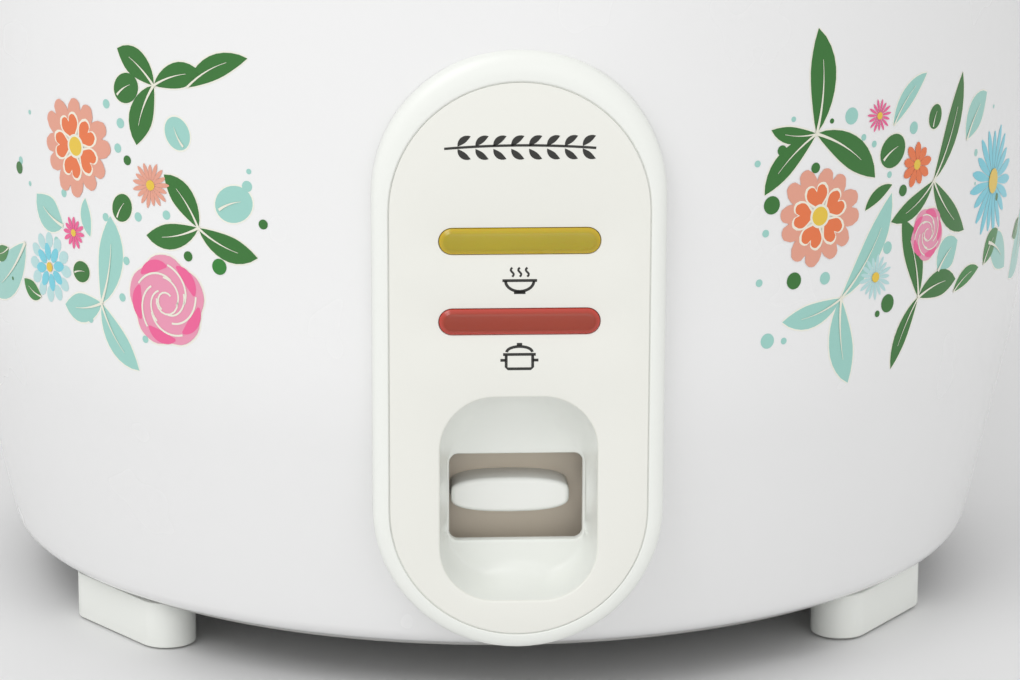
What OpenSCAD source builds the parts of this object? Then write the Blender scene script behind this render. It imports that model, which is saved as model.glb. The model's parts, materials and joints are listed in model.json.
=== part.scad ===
// Rice cooker of the lever type with a lift-off glass lid.
// Origin: on the table, under the middle of the cooker. +Z up, -Y is the front, +X the right-hand handle.
// All sizes in millimetres, angles in degrees.

/* [Shell] */
// Outer diameter of the shell
shell_d = 274; // [228:1:330]
// Height of the shell's top edge above the table
shell_h = 196; // [163:1:236]
// Height of the shell's underside above the table
shell_z = 13; // [12:0.5:16]
// Thickness of the shell's sheet steel
sheet_t = 1; // [0.6:0.1:1.5]
// Height at which the wall starts to curve in
taper_z = 86; // [80:1:100]
// Slope of the lower wall from upright
taper_a = 12; // [8:0.5:13]
// Radius of the curve between the upright wall and the lower wall
taper_r = 109; // [80:1:140]
// Radius of the shell's bottom corner
corner_r = 5; // [3:0.5:8]
// Width of the flat lip under the shell
lip_w = 16; // [15:0.5:20]

/* [Feet] */
// Length of a foot, along the shell's edge
foot_l = 41; // [34:1:50]
// Width of a foot
foot_w = 14; // [12:0.5:16]
// Angle of the front feet from the front, seen from above
foot_a = 54; // [40:1:60]
// Thickness of the rubber pad under a foot
pad_t = 2; // [1:0.5:3]
// Thickness of the bottom cover plate
cover_t = 1.2; // [0.8:0.1:2]

/* [Control panel] */
// Width of the face plate
plate_w = 59.3; // [50:0.1:66]
// Height of the face plate's lower end above the table
plate_z0 = 21.3; // [20:0.1:26]
// Height of the face plate's upper end above the table
plate_z1 = 150.4; // [145:0.1:160]
// Thickness of the face plate
plate_t = 1.6; // [1:0.1:2.4]
// How far the face plate stands in front of the shell
plate_proud = 2.6; // [2.4:0.1:5]
// Width of the seam around the face plate
seam = 0.25; // [0.1:0.05:0.5]
// Width of the bezel beside and under the face plate
bezel_w = 3.6; // [3:0.1:6]
// Width of the bezel above the face plate
bezel_top = 7; // [3.6:0.1:10]
// Rounding of the bezel's front edge
bezel_round = 2.6; // [1:0.1:3]

/* [Lamps] */
// Length of a lamp lens
lens_w = 36.4; // [30:0.1:44]
// Height of a lamp lens
lens_h = 5.9; // [4:0.1:8]
// Height of the warm lamp above the table
warm_z = 114.1; // [110:0.1:120]
// Height of the cook lamp above the table
cook_z = 95.5; // [92:0.1:100]
// How far a lens stands in front of the face plate
lens_proud = 0.8; // [0.3:0.1:1.5]

/* [Finger recess and slot] */
// Width of the finger recess
recess_w = 36; // [34:0.1:42]
// Height of the recess's lower edge above the table
recess_z0 = 29.5; // [28:0.1:32]
// Height of the recess's upper edge above the table
recess_z1 = 77.7; // [74:0.1:80]
// Corner radius of the recess
recess_r = 12.5; // [8:0.5:15]
// Depth of the recess
recess_depth = 12.6; // [8:0.1:14]
// Width of the lever slot
slot_w = 30.9; // [30:0.1:32]
// Height of the slot's lower edge above the table
slot_z0 = 40.4; // [39:0.1:41]
// Height of the slot's upper edge above the table
slot_z1 = 61; // [58:0.1:64]
// Corner radius of the slot
slot_r = 2.1; // [1:0.1:4]

/* [Lever] */
// Width of the knob on the lever
knob_w = 27.4; // [22:0.1:28]
// Height of the knob's face
knob_h = 8.4; // [6:0.1:9]
// Height of the knob's middle above the table
knob_z = 50.8; // [50:0.1:52]
// Sideways offset of the lever in its slot
knob_x = -1.3; // [-1.4:0.1:1.4]
// How far the lever turns from warm to cook
lever_turn = 4; // [2:0.5:4]
// Distance from the lever's pivot to the sensor's axis
pivot_y = 50; // [44:1:56]
// Height of the lever's pivot above the table
pivot_z = 32; // [31:0.5:33]
// Radius of the lever's pivot pin
pin_r = 2; // [1.5:0.1:2.5]

/* [Pot and heating plate] */
// Gap between the shell and the inner liner
liner_gap = 12; // [10:0.5:16]
// Gap between the liner and the pot
pot_gap = 8.2; // [7:0.1:12]
// Wall thickness of the pot
pot_t = 1.6; // [1:0.1:2.5]
// Radius of the pot's bottom corner
pot_corner = 20; // [12:1:24]
// Width of the pot's flange
flange_w = 14; // [13:0.5:15]
// Height of the heating plate's top above the table
hot_z = 72; // [70:0.5:76]
// Thickness of the heating plate
hot_t = 11; // [9:0.5:12]
// How much smaller than the pot's radius the heating plate is
hot_inset = 26; // [22:1:30]
// Radius of the heating element's tube
element_r = 4; // [3:0.1:4.5]
// Travel of the sensor cap
cap_travel = 3; // [1:0.5:3]

/* [Lid] */
// Rise of the glass dome
dome_rise = 26; // [18:1:34]
// Thickness of the glass
glass_t = 4; // [3:0.5:5]
// Radius of the lid knob
lid_knob_r = 20; // [15:0.5:24]
// Height of the lid knob
lid_knob_h = 28; // [22:0.5:34]
// Radius of the knob screw
lid_screw_r = 2.5; // [2:0.1:3]

/* [Handles] */
// How far a handle stands out from the shell
handle_reach = 29; // [26:1:34]
// Height of a handle's grip
handle_h = 15; // [12:0.5:20]
// Thickness of a handle's grip
grip_t = 9; // [8:0.5:12]
// Half the angle that a handle spans
handle_a = 19; // [17:0.5:22]
// Distance from the shell's top edge down to the handle's top
handle_drop = 20; // [14:0.5:24]

/* [Power inlet] */
// Width of the inlet's flange
inlet_w = 46; // [44:0.5:52]
// Height of the inlet's flange
inlet_h = 30; // [28:0.5:34]
// Height of the inlet's middle above the table
inlet_z = 44; // [42:0.5:50]
// Radius of an inlet pin
inlet_pin_r = 2; // [1.5:0.1:2.4]

/* [Hidden] */
$fn = 96;

// Clearances shared by everything that fits together
fit = 0.1;
slack = 0.3;
screw_gap = 0.1;
// How far a cut runs past the face it opens
past = 1;
// Steps in a drawn curve
arc_steps = 10;

// Shell
shell_r = shell_d / 2;
taper_end = [shell_r - taper_r * (1 - cos(taper_a)), taper_z - taper_r * sin(taper_a)];
slope_l = (taper_end.y + corner_r * sin(taper_a) - shell_z - corner_r) / cos(taper_a);
corner_x = taper_end.x - slope_l * sin(taper_a) - corner_r * cos(taper_a);
corner_c = [corner_x, shell_z + corner_r];
lip_r = corner_x - lip_w;

// Feet and bottom cover
cover_r = corner_x - 1;
cover_z = shell_z - cover_t;
foot_r = corner_x - foot_w / 2 - 0.5;
foot_angles = [-90 - foot_a, -90 + foot_a, 90 + foot_a, 90 - foot_a];
foot_screw_r = 2;
foot_head_r = 4;
foot_head_z = 4.5;
foot_head_t = 2;
foot_low = 0.5;
foot_inset = min(1.6, foot_w / 2 - foot_head_r - slack - 0.8);
cover_slot = [14, 4];
cover_slot_rings = [0.5 * lip_r, 0.72 * lip_r];
cover_clear_x = 26;

// Control panel
panel_y = -shell_r - plate_proud;
pocket_y = panel_y + plate_t;
bezel_r = plate_w / 2 + bezel_w;
bezel_z0 = plate_z0 - bezel_w;
bezel_z1 = plate_z1 + bezel_top;
recess_wall = 1.8;
recess_lip = 0.6;
floor_y = panel_y + recess_depth;
tub_y = floor_y + recess_wall;
recess_mid = (recess_z0 + recess_z1) / 2;
recess_h = recess_z1 - recess_z0;
slot_mid = (slot_z0 + slot_z1) / 2;
slot_h = slot_z1 - slot_z0;
cove_h = 6.5;
lens_flange = 1.3;
lens_flange_t = 1.2;
bay_w = lens_w + 2 * lens_flange + 2;
bay_z0 = cook_z - lens_h / 2 - lens_flange - 1;
bay_z1 = warm_z + lens_h / 2 + lens_flange + 1;
bay_y = pocket_y + 1;
boss_z = (warm_z + plate_z1) / 2;
boss_r = 4;
boss_y = pocket_y + 0.5;
low_screw_z = (bezel_z0 + recess_z0) / 2 + 1;
panel_screw_r = 1.5;
panel_head_r = 3;
panel_washer = [6.5, 1];
washer_y = sheet_t - shell_r + 0.35;

// Lamps, in a holder between the bezel and the liner
holder_y = bay_y + lens_flange_t + 2 * fit;
holder_wall = 1;
lamp_r = 2.8;
lamp_l = 18;

// Lever, pivoted between the knob and the sensor
knob_y = floor_y + 0.6;
knob_depth = 9;
shield_y = knob_y + knob_depth;
shield_t = 1.2;
arm_t = 3;
arm_h = 7;
arm_low = pivot_z - arm_h / 2;
arm_end = 6;
arm_tip = [2, 1];
arm_rise = 3;
pad_end = 13;
pin_play = 0.06;
hub_r = 5;
hub_w = 19;
bend_y = -pivot_y - 19;
rise_y = shield_y + 14;
pad_z = arm_low - 1.5;
lift_pad_t = 2;
lift_gap = 0.5;
lift_pad = [14, 21];
ear_x = hub_w / 2 + 0.5;
ear_t = 1.5;
ear_w = 16;
bracket_t = 1.5;
bracket_l = 22;
rivet_r = 1.5;
rivet_head = [2.8, 1.2];
rivet_y = 8.5;
tension_y = -23;

// Magnet rod and sensor, on the axis of the cooker
rod_r = 2.5;
rod_travel = pivot_y * sin(lever_turn);
collar_r = 4.5;
collar_t = 2;
collar_z = pad_z + lift_pad_t + lift_gap;
strap_z = arm_low + arm_h + rod_travel + 0.6;
strap_t = 1.5;
housing_z = strap_z + strap_t;
housing_r = 11;
housing_wall = 1.4;
housing_h = 18.5;
magnet_r = 8.5;
magnet_t = 5;
magnet_z = housing_z + housing_h - magnet_t - rod_travel - 1;
cap_r = 13.2;
cap_wall = 1.2;
cap_top = 1.5;
ferrite_z = magnet_z + magnet_t + rod_travel + cap_travel + slack;
sensor_hole = cap_r + 2.5;
coil_r = housing_r - 0.7;
coil_wire = 0.5;
coil_gap = 0.05;
coil_turns = 4;
cap_skirt = 4;
housing_flange = [3, 1.5];
rod_collar_t = 1.5;
rod_tail = 4;

// Heating plate and what carries it
liner_r = shell_r - liner_gap;
liner_t = 0.8;
pot_r = liner_r - pot_gap;
hot_r = pot_r - hot_inset;
hot_low = hot_z - hot_t;
element_ring = hot_r - 28;
element_sweep = 320;
post_ring = hot_r - 10;
post_r = 5;
post_boss = 5;
post_low = shell_z;
post_high = hot_low - post_boss;
post_angles = [90, 210, 330];
stud_r = 2;
strap_x = element_ring - element_r - 3;
strap_w = 28;
strap_foot = 9;
plate_chamfer = 2;
plate_face = 0.2;
stud_gap = 0.05;
post_boss_r = 7;
post_screw_l = 9;
cold_end = 14;
cold_bore = 1.6;
cold_bore_l = 8;
tab = [6, 0.8, 7];
tab_stem_r = 1.5;
tab_low = 24;
bolt_x = strap_x - (strap_foot - strap_t) / 2;
bolt_r = 1.5;
liner_low = hot_low + 1;
liner_hole = hot_r + 3;
liner_floor_r = pot_r - 0.45 * pot_corner;
liner_wall_z = recess_z1 + recess_wall + 6.5;
holder_back = -liner_r - liner_t - 0.5;
lamp_y = holder_back - holder_wall - lamp_r - fit;
heater_z = bay_z1 + 4;
heater_h = 18;
heater_t = 1.5;

// Rim, pot and lid, stacked upwards
rim_t = 1.2;
rim_skirt = min(8, 0.7 * (shell_h - bezel_z1));
rim_over = 1.3;
rim_top = shell_h + rim_t;
rim_in = liner_r - 2.5;
flange_z = rim_top + fit;
flange_r = pot_r + flange_w;
pot_top = flange_z + pot_t;
lid_z = pot_top + fit;
band_r = flange_r - 4.5;
band_t = 1;
glass_r = band_r - band_t;
band_under = 7;
band_lip = glass_r - 2.5;
dome_r = (glass_r * glass_r + dome_rise * dome_rise) / (2 * dome_rise);
dome_c = lid_z + band_t + glass_t + dome_rise - dome_r;
dome_top = dome_c + dome_r;
lid_washer_t = 1.5;
lid_knob_z = dome_top + lid_washer_t - 0.3;
vent_x = 62;
vent_hole = 3.5;
vent_z = dome_at(vent_x);
vent_flange = [vent_hole + 2, 1];
vent_lift = 0.2 + vent_flange.x * vent_x / sqrt(dome_r * dome_r - vent_x * vent_x);

// Handles
handle_z = shell_h - handle_drop - handle_h / 2;
handle_out = shell_r + handle_reach;
handle_base = 3;
handle_end = 5;
handle_screw_r = 1.8;
handle_screw_l = 14;
handle_head = [3.6, 2];
grip_round = 3.5;

// Power inlet
inlet_y = -panel_y;
inlet_cavity_w = 27;
inlet_cavity_h = 18;
inlet_depth = 20;
inlet_back = inlet_y - inlet_depth - 5;
inlet_pitch = 8.5;
inlet_screw_x = inlet_w / 2 - 3.8;
inlet_saddle = 18;

// Micro switch under the lever
switch_y = -pivot_y - 21;
switch_top = arm_low - 4;
switch_l = 16;
switch_w = 11;
switch_ear = [6, 8, 3];
switch_screw_r = 1.2;
plunger_r = 1.5;
plunger_gap = 0.2;
plunger_sunk = 3;

// Thermal fuse in its clip, under the heating plate
fuse_a = 150;
fuse_r = 2.4;
fuse_l = 20;
fuse_lead_r = 0.6;
fuse_lead_l = 36;
fuse_z = hot_low - fuse_r - 0.8;
clip = [8, 6, 7];

// Terminal block
block_at = [26, 54];
block = [38, 18, 12];
block_pitch = 12;
block_well = [2.6, 4];
block_hole_r = 1.8;

// ---- Shapes used by several pieces ----

// Points of an arc about c from angle a0 to a1, measured downwards from +X
function arc(c, r, a0, a1, n = arc_steps) =
    [for (i = [0:n]) c + r * [cos(a0 + (a1 - a0) * i / n), -sin(a0 + (a1 - a0) * i / n)]];

// Outside of the shell, grown by g, from the bottom corner up to height top
function shell_curve(g, top) = concat(
    arc(corner_c, corner_r + g, 90, taper_a),
    arc([shell_r - taper_r, taper_z], taper_r + g, taper_a, 0),
    [[shell_r + g, top]]);

function reversed(list) = [for (i = [len(list) - 1:-1:0]) list[i]];

// The whole space inside the shell's outside, grown by g, to seat pieces on it
module shell_space(g) {
    rotate_extrude()
        polygon(concat([[0, shell_z - g]], shell_curve(g, shell_h), [[0, shell_h]]));
}

// Stands a flat outline (x, z) upright, from y backwards by depth
module upright(y, depth) {
    translate([0, y + depth, 0])
        rotate([90, 0, 0])
            linear_extrude(depth) children();
}

// Extends a flat outline (y, z) sideways by w, centred on x
module sideways(w, x = 0) {
    translate([x - w / 2, 0, 0])
        rotate([90, 0, 90])
            linear_extrude(w) children();
}

module rounded_rect(w, h, r) {
    square([w - 2 * r, h], center = true);
    square([w, h - 2 * r], center = true);
    for (x = [-1, 1], y = [-1, 1])
        translate([x * (w / 2 - r), y * (h / 2 - r)])
            circle(r);
}

// A bar with round ends, lying along x
module bar(w, h) {
    square([w - h, h], center = true);
    for (x = [-1, 1])
        translate([x * (w - h) / 2, 0])
            circle(d = h);
}

// A standing outline with round ends, from z0 to z1
module stadium(w, z0, z1) {
    translate([0, (z0 + z1) / 2])
        rotate(90)
            bar(z1 - z0, w);
}

// A screw pointing up, its head under z = 0
module screw(r, l, head_r, head_t) {
    cylinder(r = r, h = l);
    translate([0, 0, -head_t])
        cylinder(r = head_r, h = head_t);
}

module ring(r0, r1, z0, z1) {
    rotate_extrude()
        translate([r0, z0])
            square([r1 - r0, z1 - z0]);
}

// Places children at a foot, with x along the shell's edge
module at_foot(a) {
    rotate(a)
        translate([foot_r, 0, 0])
            rotate(90)
                children();
}

// Places children on the shell at a handle's end, with z pointing outwards
module at_handle_ends(side) {
    for (a = [-1, 1])
        rotate((side > 0 ? 0 : 180) + a * (handle_a - handle_end / 2))
            translate([shell_r, 0, handle_z])
                rotate([0, 90, 0])
                    children();
}

// A coil spring standing on z = 0
module coil(r, wire, h, turns) {
    sides = 8;
    per_turn = 16;
    steps = turns * per_turn;
    points = [
        for (i = [0:steps], j = [0:sides - 1])
            let (a = 360 * i / per_turn, b = 360 * j / sides, d = r + wire * cos(b))
                [d * cos(a), d * sin(a), wire + (h - 2 * wire) * i / steps + wire * sin(b)]
    ];
    faces = concat(
        [[for (j = [0:sides - 1]) j]],
        [[for (j = [sides - 1:-1:0]) steps * sides + j]],
        [for (i = [0:steps - 1], j = [0:sides - 1])
            let (k = (j + 1) % sides)
                [i * sides + j, (i + 1) * sides + j, (i + 1) * sides + k, i * sides + k]]);
    polyhedron(points, faces, convexity = 4);
}

// ---- Shell, rim, liner and bottom ----

module body_shell() {
    color("white")
        difference() {
            rotate_extrude()
                polygon(concat(
                    [[lip_r, shell_z]],
                    shell_curve(0, shell_h),
                    reversed(shell_curve(-sheet_t, shell_h)),
                    [[lip_r, shell_z + sheet_t]]));
            panel_opening();
            inlet_opening(fit);
            for (side = [-1, 1])
                at_handle_ends(side)
                    translate([0, 0, -5])
                        cylinder(r = handle_screw_r + screw_gap, h = 10);
            for (a = foot_angles)
                at_foot(a)
                    translate([0, 0, shell_z - 5])
                        cylinder(r = foot_screw_r + screw_gap, h = 10);
            for (x = [-1, 1])
                translate([x * inlet_screw_x, inlet_y, inlet_z])
                    rotate([90, 0, 0])
                        cylinder(r = panel_screw_r + screw_gap, h = 40);
        }
}

// Opening behind the bezel: the recess's tub, the lamp bay, the upper boss and the lower screw
module panel_opening() {
    upright(panel_y, 30) {
        recess_outline(recess_wall + slack);
        translate([0, (bay_z0 + bay_z1) / 2])
            square([bay_w, bay_z1 - bay_z0], center = true);
        translate([0, boss_z])
            circle(boss_r + slack);
        translate([0, low_screw_z])
            circle(panel_screw_r + screw_gap);
    }
}

module inlet_opening(gap) {
    upright(inlet_back - 5, inlet_depth + 15)
        translate([0, inlet_z])
            rounded_rect(inlet_cavity_w + 4 + 2 * gap, inlet_cavity_h + 4 + 2 * gap, 3);
}

module body_rim() {
    color("silver")
        rotate_extrude()
            polygon(concat(
                [[shell_r + fit, shell_h - rim_skirt]],
                [[shell_r + fit, shell_h]],
                [[rim_in + rim_t, shell_h]],
                [[rim_in + rim_t, shell_h - rim_skirt]],
                [[rim_in, shell_h - rim_skirt]],
                [[rim_in, rim_top]],
                reversed(arc([shell_r + rim_over - rim_t, shell_h], rim_t, 0, -90)),
                [[shell_r + rim_over, shell_h - rim_skirt]]));
}

module inner_liner() {
    color("gainsboro")
        rotate_extrude()
            polygon([
                [liner_hole, liner_low], [liner_floor_r, liner_low], [liner_r + liner_t, liner_wall_z],
                [liner_r + liner_t, shell_h - liner_t], [shell_r - sheet_t - fit, shell_h - liner_t],
                [shell_r - sheet_t - fit, shell_h], [liner_r, shell_h], [liner_r, liner_wall_z],
                [liner_floor_r, liner_low + liner_t], [liner_hole, liner_low + liner_t]]);
}

module base_cover() {
    color("lightgray")
        difference() {
            translate([0, 0, cover_z])
                cylinder(r = cover_r, h = cover_t);
            for (a = foot_angles)
                at_foot(a)
                    translate([0, 0, cover_z - 1])
                        cylinder(r = foot_screw_r + screw_gap, h = cover_t + 2);
            for (a = post_angles)
                rotate(a)
                    translate([post_ring, 0, cover_z - 1])
                        cylinder(r = stud_r + screw_gap, h = cover_t + 2);
            at_lever_rivets()
                translate([0, 0, cover_z - 1])
                    cylinder(r = rivet_r + screw_gap, h = cover_t + 2);
            at_switch_screws()
                translate([0, 0, cover_z - 1])
                    cylinder(r = switch_screw_r + screw_gap, h = cover_t + 2);
            // Two rings of cooling slots, left out under the lever and the switch
            for (a = [0:30:330], r = cover_slot_rings)
                if (abs(r * cos(a)) > cover_clear_x || r * sin(a) > 0)
                    rotate(a)
                        translate([r, 0, cover_z - 1])
                            linear_extrude(cover_t + 2)
                                bar(cover_slot.x, cover_slot.y);
        }
}

// ---- Feet ----

module foot(a) {
    color("white")
        difference() {
            at_foot(a)
                translate([0, 0, foot_low])
                    linear_extrude(cover_z - foot_low)
                        bar(foot_l, foot_w);
            at_foot(a) {
                // Pocket for the rubber pad
                linear_extrude(pad_t)
                    bar(foot_l - 2 * foot_inset, foot_w - 2 * foot_inset);
                cylinder(r = foot_screw_r + screw_gap, h = shell_z + past);
                cylinder(r = foot_head_r + slack, h = foot_head_z + fit);
            }
        }
}

module foot_front_left() { foot(foot_angles[0]); }
module foot_front_right() { foot(foot_angles[1]); }
module foot_rear_left() { foot(foot_angles[2]); }
module foot_rear_right() { foot(foot_angles[3]); }

module foot_pads() {
    color("dimgray")
        for (a = foot_angles)
            at_foot(a)
                linear_extrude(pad_t)
                    difference() {
                        bar(foot_l - 2 * (foot_inset + fit), foot_w - 2 * (foot_inset + fit));
                        circle(foot_head_r + slack);
                    }
}

module foot_screws() {
    color("silver")
        for (a = foot_angles)
            at_foot(a)
                translate([0, 0, foot_head_z])
                    screw(foot_screw_r, shell_z + sheet_t + 2 - foot_head_z, foot_head_r, foot_head_t);
}

// ---- Handles ----

module handle(side) {
    turn = side > 0 ? 0 : 180;
    color("white")
        difference() {
            rotate(turn) {
                // Grip
                rotate(-handle_a)
                    rotate_extrude(angle = 2 * handle_a)
                        translate([handle_out - grip_t / 2, handle_z])
                            rounded_rect(grip_t, handle_h, grip_round);
                // Base against the shell
                rotate(-handle_a)
                    rotate_extrude(angle = 2 * handle_a)
                        translate([shell_r + fit, handle_z - handle_h / 2])
                            square([handle_base, handle_h]);
                // Ends between the base and the grip
                for (a = [-handle_a, handle_a - handle_end])
                    rotate(a)
                        rotate_extrude(angle = handle_end)
                            translate([shell_r + fit, handle_z - handle_h / 2])
                                square([handle_reach - grip_t / 2, handle_h]);
            }
            at_handle_ends(side)
                translate([0, 0, -1])
                    cylinder(r = handle_screw_r + screw_gap, h = handle_screw_l + past);
        }
}

module handle_left() { handle(-1); }
module handle_right() { handle(1); }

module handle_screws() {
    color("silver")
        for (side = [-1, 1])
            at_handle_ends(side)
                translate([0, 0, -sheet_t - slack])
                    screw(handle_screw_r, handle_screw_l, handle_head.x, handle_head.y);
}

// ---- Control panel ----

// Section of the bezel, from its middle outwards
function bezel_section(d) = concat(
    [[0, 0], [bezel_r, 0]],
    arc([bezel_r - bezel_round, d - bezel_round], bezel_round, 0, -90),
    [[0, d]]);

module bezel_block() {
    depth = 30;
    section = bezel_section(depth);
    translate([0, panel_y + depth, 0]) {
        for (z = [bezel_z0 + bezel_r, bezel_z1 - bezel_r])
            translate([0, 0, z])
                rotate([90, 0, 0])
                    rotate_extrude()
                        polygon(section);
        translate([0, 0, bezel_z0 + bezel_r])
            linear_extrude(bezel_z1 - bezel_z0 - 2 * bezel_r)
                for (s = [-1, 1])
                    scale([s, -1])
                        polygon(section);
    }
}

// Outline of the finger recess, grown by g
module recess_outline(g) {
    translate([0, recess_mid])
        rounded_rect(recess_w + 2 * g, recess_h + 2 * g, recess_r + g);
}

// The hollow of the finger recess: it leans in from above and coves out below
module recess_hollow() {
    ease_z = slot_z1 + 1.2;
    cove_z = recess_z0 + cove_h;
    intersection() {
        upright(panel_y - 2, recess_depth + 3)
            recess_outline(0);
        sideways(recess_w + 10)
            polygon(concat(
                [[panel_y - 2, recess_z0], [panel_y - 2, recess_z1]],
                [for (i = [0:arc_steps])
                    let (t = i / arc_steps)
                        [panel_y + recess_depth * sin(90 * t), recess_z1 - (recess_z1 - ease_z) * t]],
                [for (i = [0:arc_steps])
                    let (s = 90 * i / arc_steps)
                        [floor_y - recess_depth * (1 - cos(s)), cove_z - cove_h * sin(s)]]));
    }
}

module lens_windows(gap) {
    for (z = [warm_z, cook_z])
        translate([0, z])
            bar(lens_w + 2 * gap, lens_h + 2 * gap);
}

module panel_bezel() {
    color("whitesmoke")
        difference() {
            union() {
                difference() {
                    bezel_block();
                    shell_space(fit);
                }
                // Tub of the recess, through the shell
                upright(panel_y + plate_t, tub_y - panel_y - plate_t)
                    recess_outline(recess_wall);
                // Upper screw boss
                upright(boss_y, washer_y - 0.15 - boss_y)
                    translate([0, boss_z])
                        circle(boss_r);
            }
            // Pocket for the face plate
            upright(panel_y - 1, plate_t + 1)
                difference() {
                    stadium(plate_w, plate_z0, plate_z1);
                    recess_outline(recess_lip);
                }
            recess_hollow();
            upright(floor_y - 2, recess_wall + 4)
                translate([0, slot_mid])
                    rounded_rect(slot_w, slot_h, slot_r);
            // Windows and the bay behind them
            upright(panel_y - 1, 20)
                lens_windows(fit);
            upright(bay_y, 20)
                translate([0, (bay_z0 + bay_z1) / 2])
                    square([bay_w - 0.6, bay_z1 - bay_z0 - 0.6], center = true);
            translate([0, 0, boss_z])
                upright(boss_y, 20)
                    circle(panel_screw_r);
            translate([0, 0, low_screw_z])
                upright(panel_y + 5, 30)
                    circle(panel_screw_r);
        }
}

module face_plate() {
    color("ivory")
        upright(panel_y, plate_t - fit)
            difference() {
                stadium(plate_w - 2 * seam, plate_z0 + seam, plate_z1 - seam);
                recess_outline(recess_lip + fit);
                lens_windows(fit);
            }
}

module lens(z) {
    upright(panel_y - lens_proud, lens_proud + bay_y - panel_y + fit)
        translate([0, z])
            bar(lens_w, lens_h);
    upright(bay_y + fit, lens_flange_t)
        translate([0, z])
            bar(lens_w + 2 * lens_flange, lens_h + 2 * lens_flange);
}

module warm_lens() { color("goldenrod") lens(warm_z); }
module cook_lens() { color("firebrick") lens(cook_z); }

module bezel_screws() {
    color("silver") {
        // Upper screw, with a wide washer against the shell's inside
        translate([0, washer_y, boss_z])
            rotate([90, 0, 0]) {
                cylinder(r = panel_screw_r - fit, h = washer_y - boss_y - 0.2);
                translate([0, 0, -panel_washer.y])
                    cylinder(r = panel_washer.x, h = panel_washer.y);
                translate([0, 0, -panel_washer.y - 1.6])
                    cylinder(r = panel_head_r, h = 1.6);
            }
        // Lower screw
        translate([0, 1.6 - low_shell_r(), low_screw_z])
            rotate([90, 0, 0])
                screw(panel_screw_r - fit, 8, panel_head_r, 1.8);
    }
}

// Radius of the shell's inside at the lower bezel screw
function low_shell_r() = corner_c.x + (corner_r - sheet_t) / cos(taper_a)
    + (low_screw_z - corner_c.y) * tan(taper_a);

// ---- Lamps ----

module lamp_holder() {
    depth = holder_back - holder_y;
    color("beige")
        difference() {
            upright(holder_y, depth)
                translate([0, (bay_z0 + bay_z1) / 2])
                    square([bay_w - 1, bay_z1 - bay_z0 - 1], center = true);
            // Each lamp's own light box
            for (z = [warm_z, cook_z])
                upright(holder_y - 1, depth + 1 - holder_wall)
                    translate([0, z])
                        square([lens_w - 2, lens_h + 3], center = true);
            // Holes for the lamps' leads
            for (z = [warm_z, cook_z], x = [-2, 2])
                translate([x, 0, z])
                    upright(holder_y, depth + 2)
                        circle(0.6);
        }
}

module lamp(z) {
    translate([-lamp_l / 2, lamp_y, z])
        rotate([0, 90, 0]) {
            cylinder(r = lamp_r, h = lamp_l);
            for (end = [0, lamp_l])
                translate([0, 0, end])
                    sphere(lamp_r);
        }
}

module warm_lamp() { color("orange") lamp(warm_z); }
module cook_lamp() { color("orangered") lamp(cook_z); }

// ---- Heating plate and its sensor ----

module heating_plate() {
    color("darkgray")
        difference() {
            union() {
                rotate_extrude()
                    polygon([
                        [sensor_hole, hot_low], [hot_r, hot_low], [hot_r, hot_z - plate_chamfer],
                        [hot_r - plate_chamfer, hot_z - plate_face], [sensor_hole, hot_z - plate_face]]);
                for (a = post_angles)
                    rotate(a)
                        translate([post_ring, 0, post_high])
                            cylinder(r = post_boss_r, h = post_boss + 1);
            }
            for (a = post_angles)
                rotate(a)
                    translate([post_ring, 0, post_high - 1])
                        cylinder(r = stud_r + stud_gap, h = 2 * post_boss);
            for (x = [-1, 1])
                translate([x * bolt_x, 0, hot_low - 1])
                    cylinder(r = bolt_r + stud_gap, h = element_r + 2);
            // Groove for the element
            ring(element_ring - element_r - fit, element_ring + element_r + fit,
                hot_low - 1, hot_low + element_r + fit);
        }
}

module heating_element() {
    color("dimgray")
        difference() {
            union() {
                rotate(90 + (360 - element_sweep) / 2)
                    rotate_extrude(angle = element_sweep)
                        translate([element_ring, hot_low])
                            circle(element_r);
                for (a = [-1, 1])
                    rotate(90 + a * (360 - element_sweep) / 2)
                        translate([element_ring, 0, hot_low - cold_end])
                            cylinder(r = element_r, h = cold_end);
            }
            for (a = [-1, 1])
                rotate(90 + a * (360 - element_sweep) / 2)
                    translate([element_ring, 0, hot_low - cold_end - 1])
                        cylinder(r = cold_bore, h = cold_bore_l + 1);
        }
}

module element_terminals() {
    color("goldenrod")
        for (a = [-1, 1])
            rotate(90 + a * (360 - element_sweep) / 2)
                translate([element_ring, 0, hot_low - tab_low])
                    union() {
                        cylinder(r = tab_stem_r, h = tab_low - cold_end + cold_bore_l - 2 * fit);
                        translate([-tab.x / 2, -tab.y / 2, 0])
                            cube(tab);
                    }
}

module plate_posts() {
    color("silver")
        for (a = post_angles)
            rotate(a)
                translate([post_ring, 0, post_low])
                    difference() {
                        union() {
                            cylinder(r = post_r, h = post_high - post_low);
                            cylinder(r = stud_r, h = post_high - post_low + post_boss);
                        }
                        translate([0, 0, -1])
                            cylinder(r = stud_r + stud_gap, h = post_screw_l + 2);
                    }
}

module post_screws() {
    color("silver")
        for (a = post_angles)
            rotate(a)
                translate([post_ring, 0, cover_z])
                    screw(stud_r, cover_t + post_screw_l, 2 * stud_r, stud_r);
}

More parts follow.
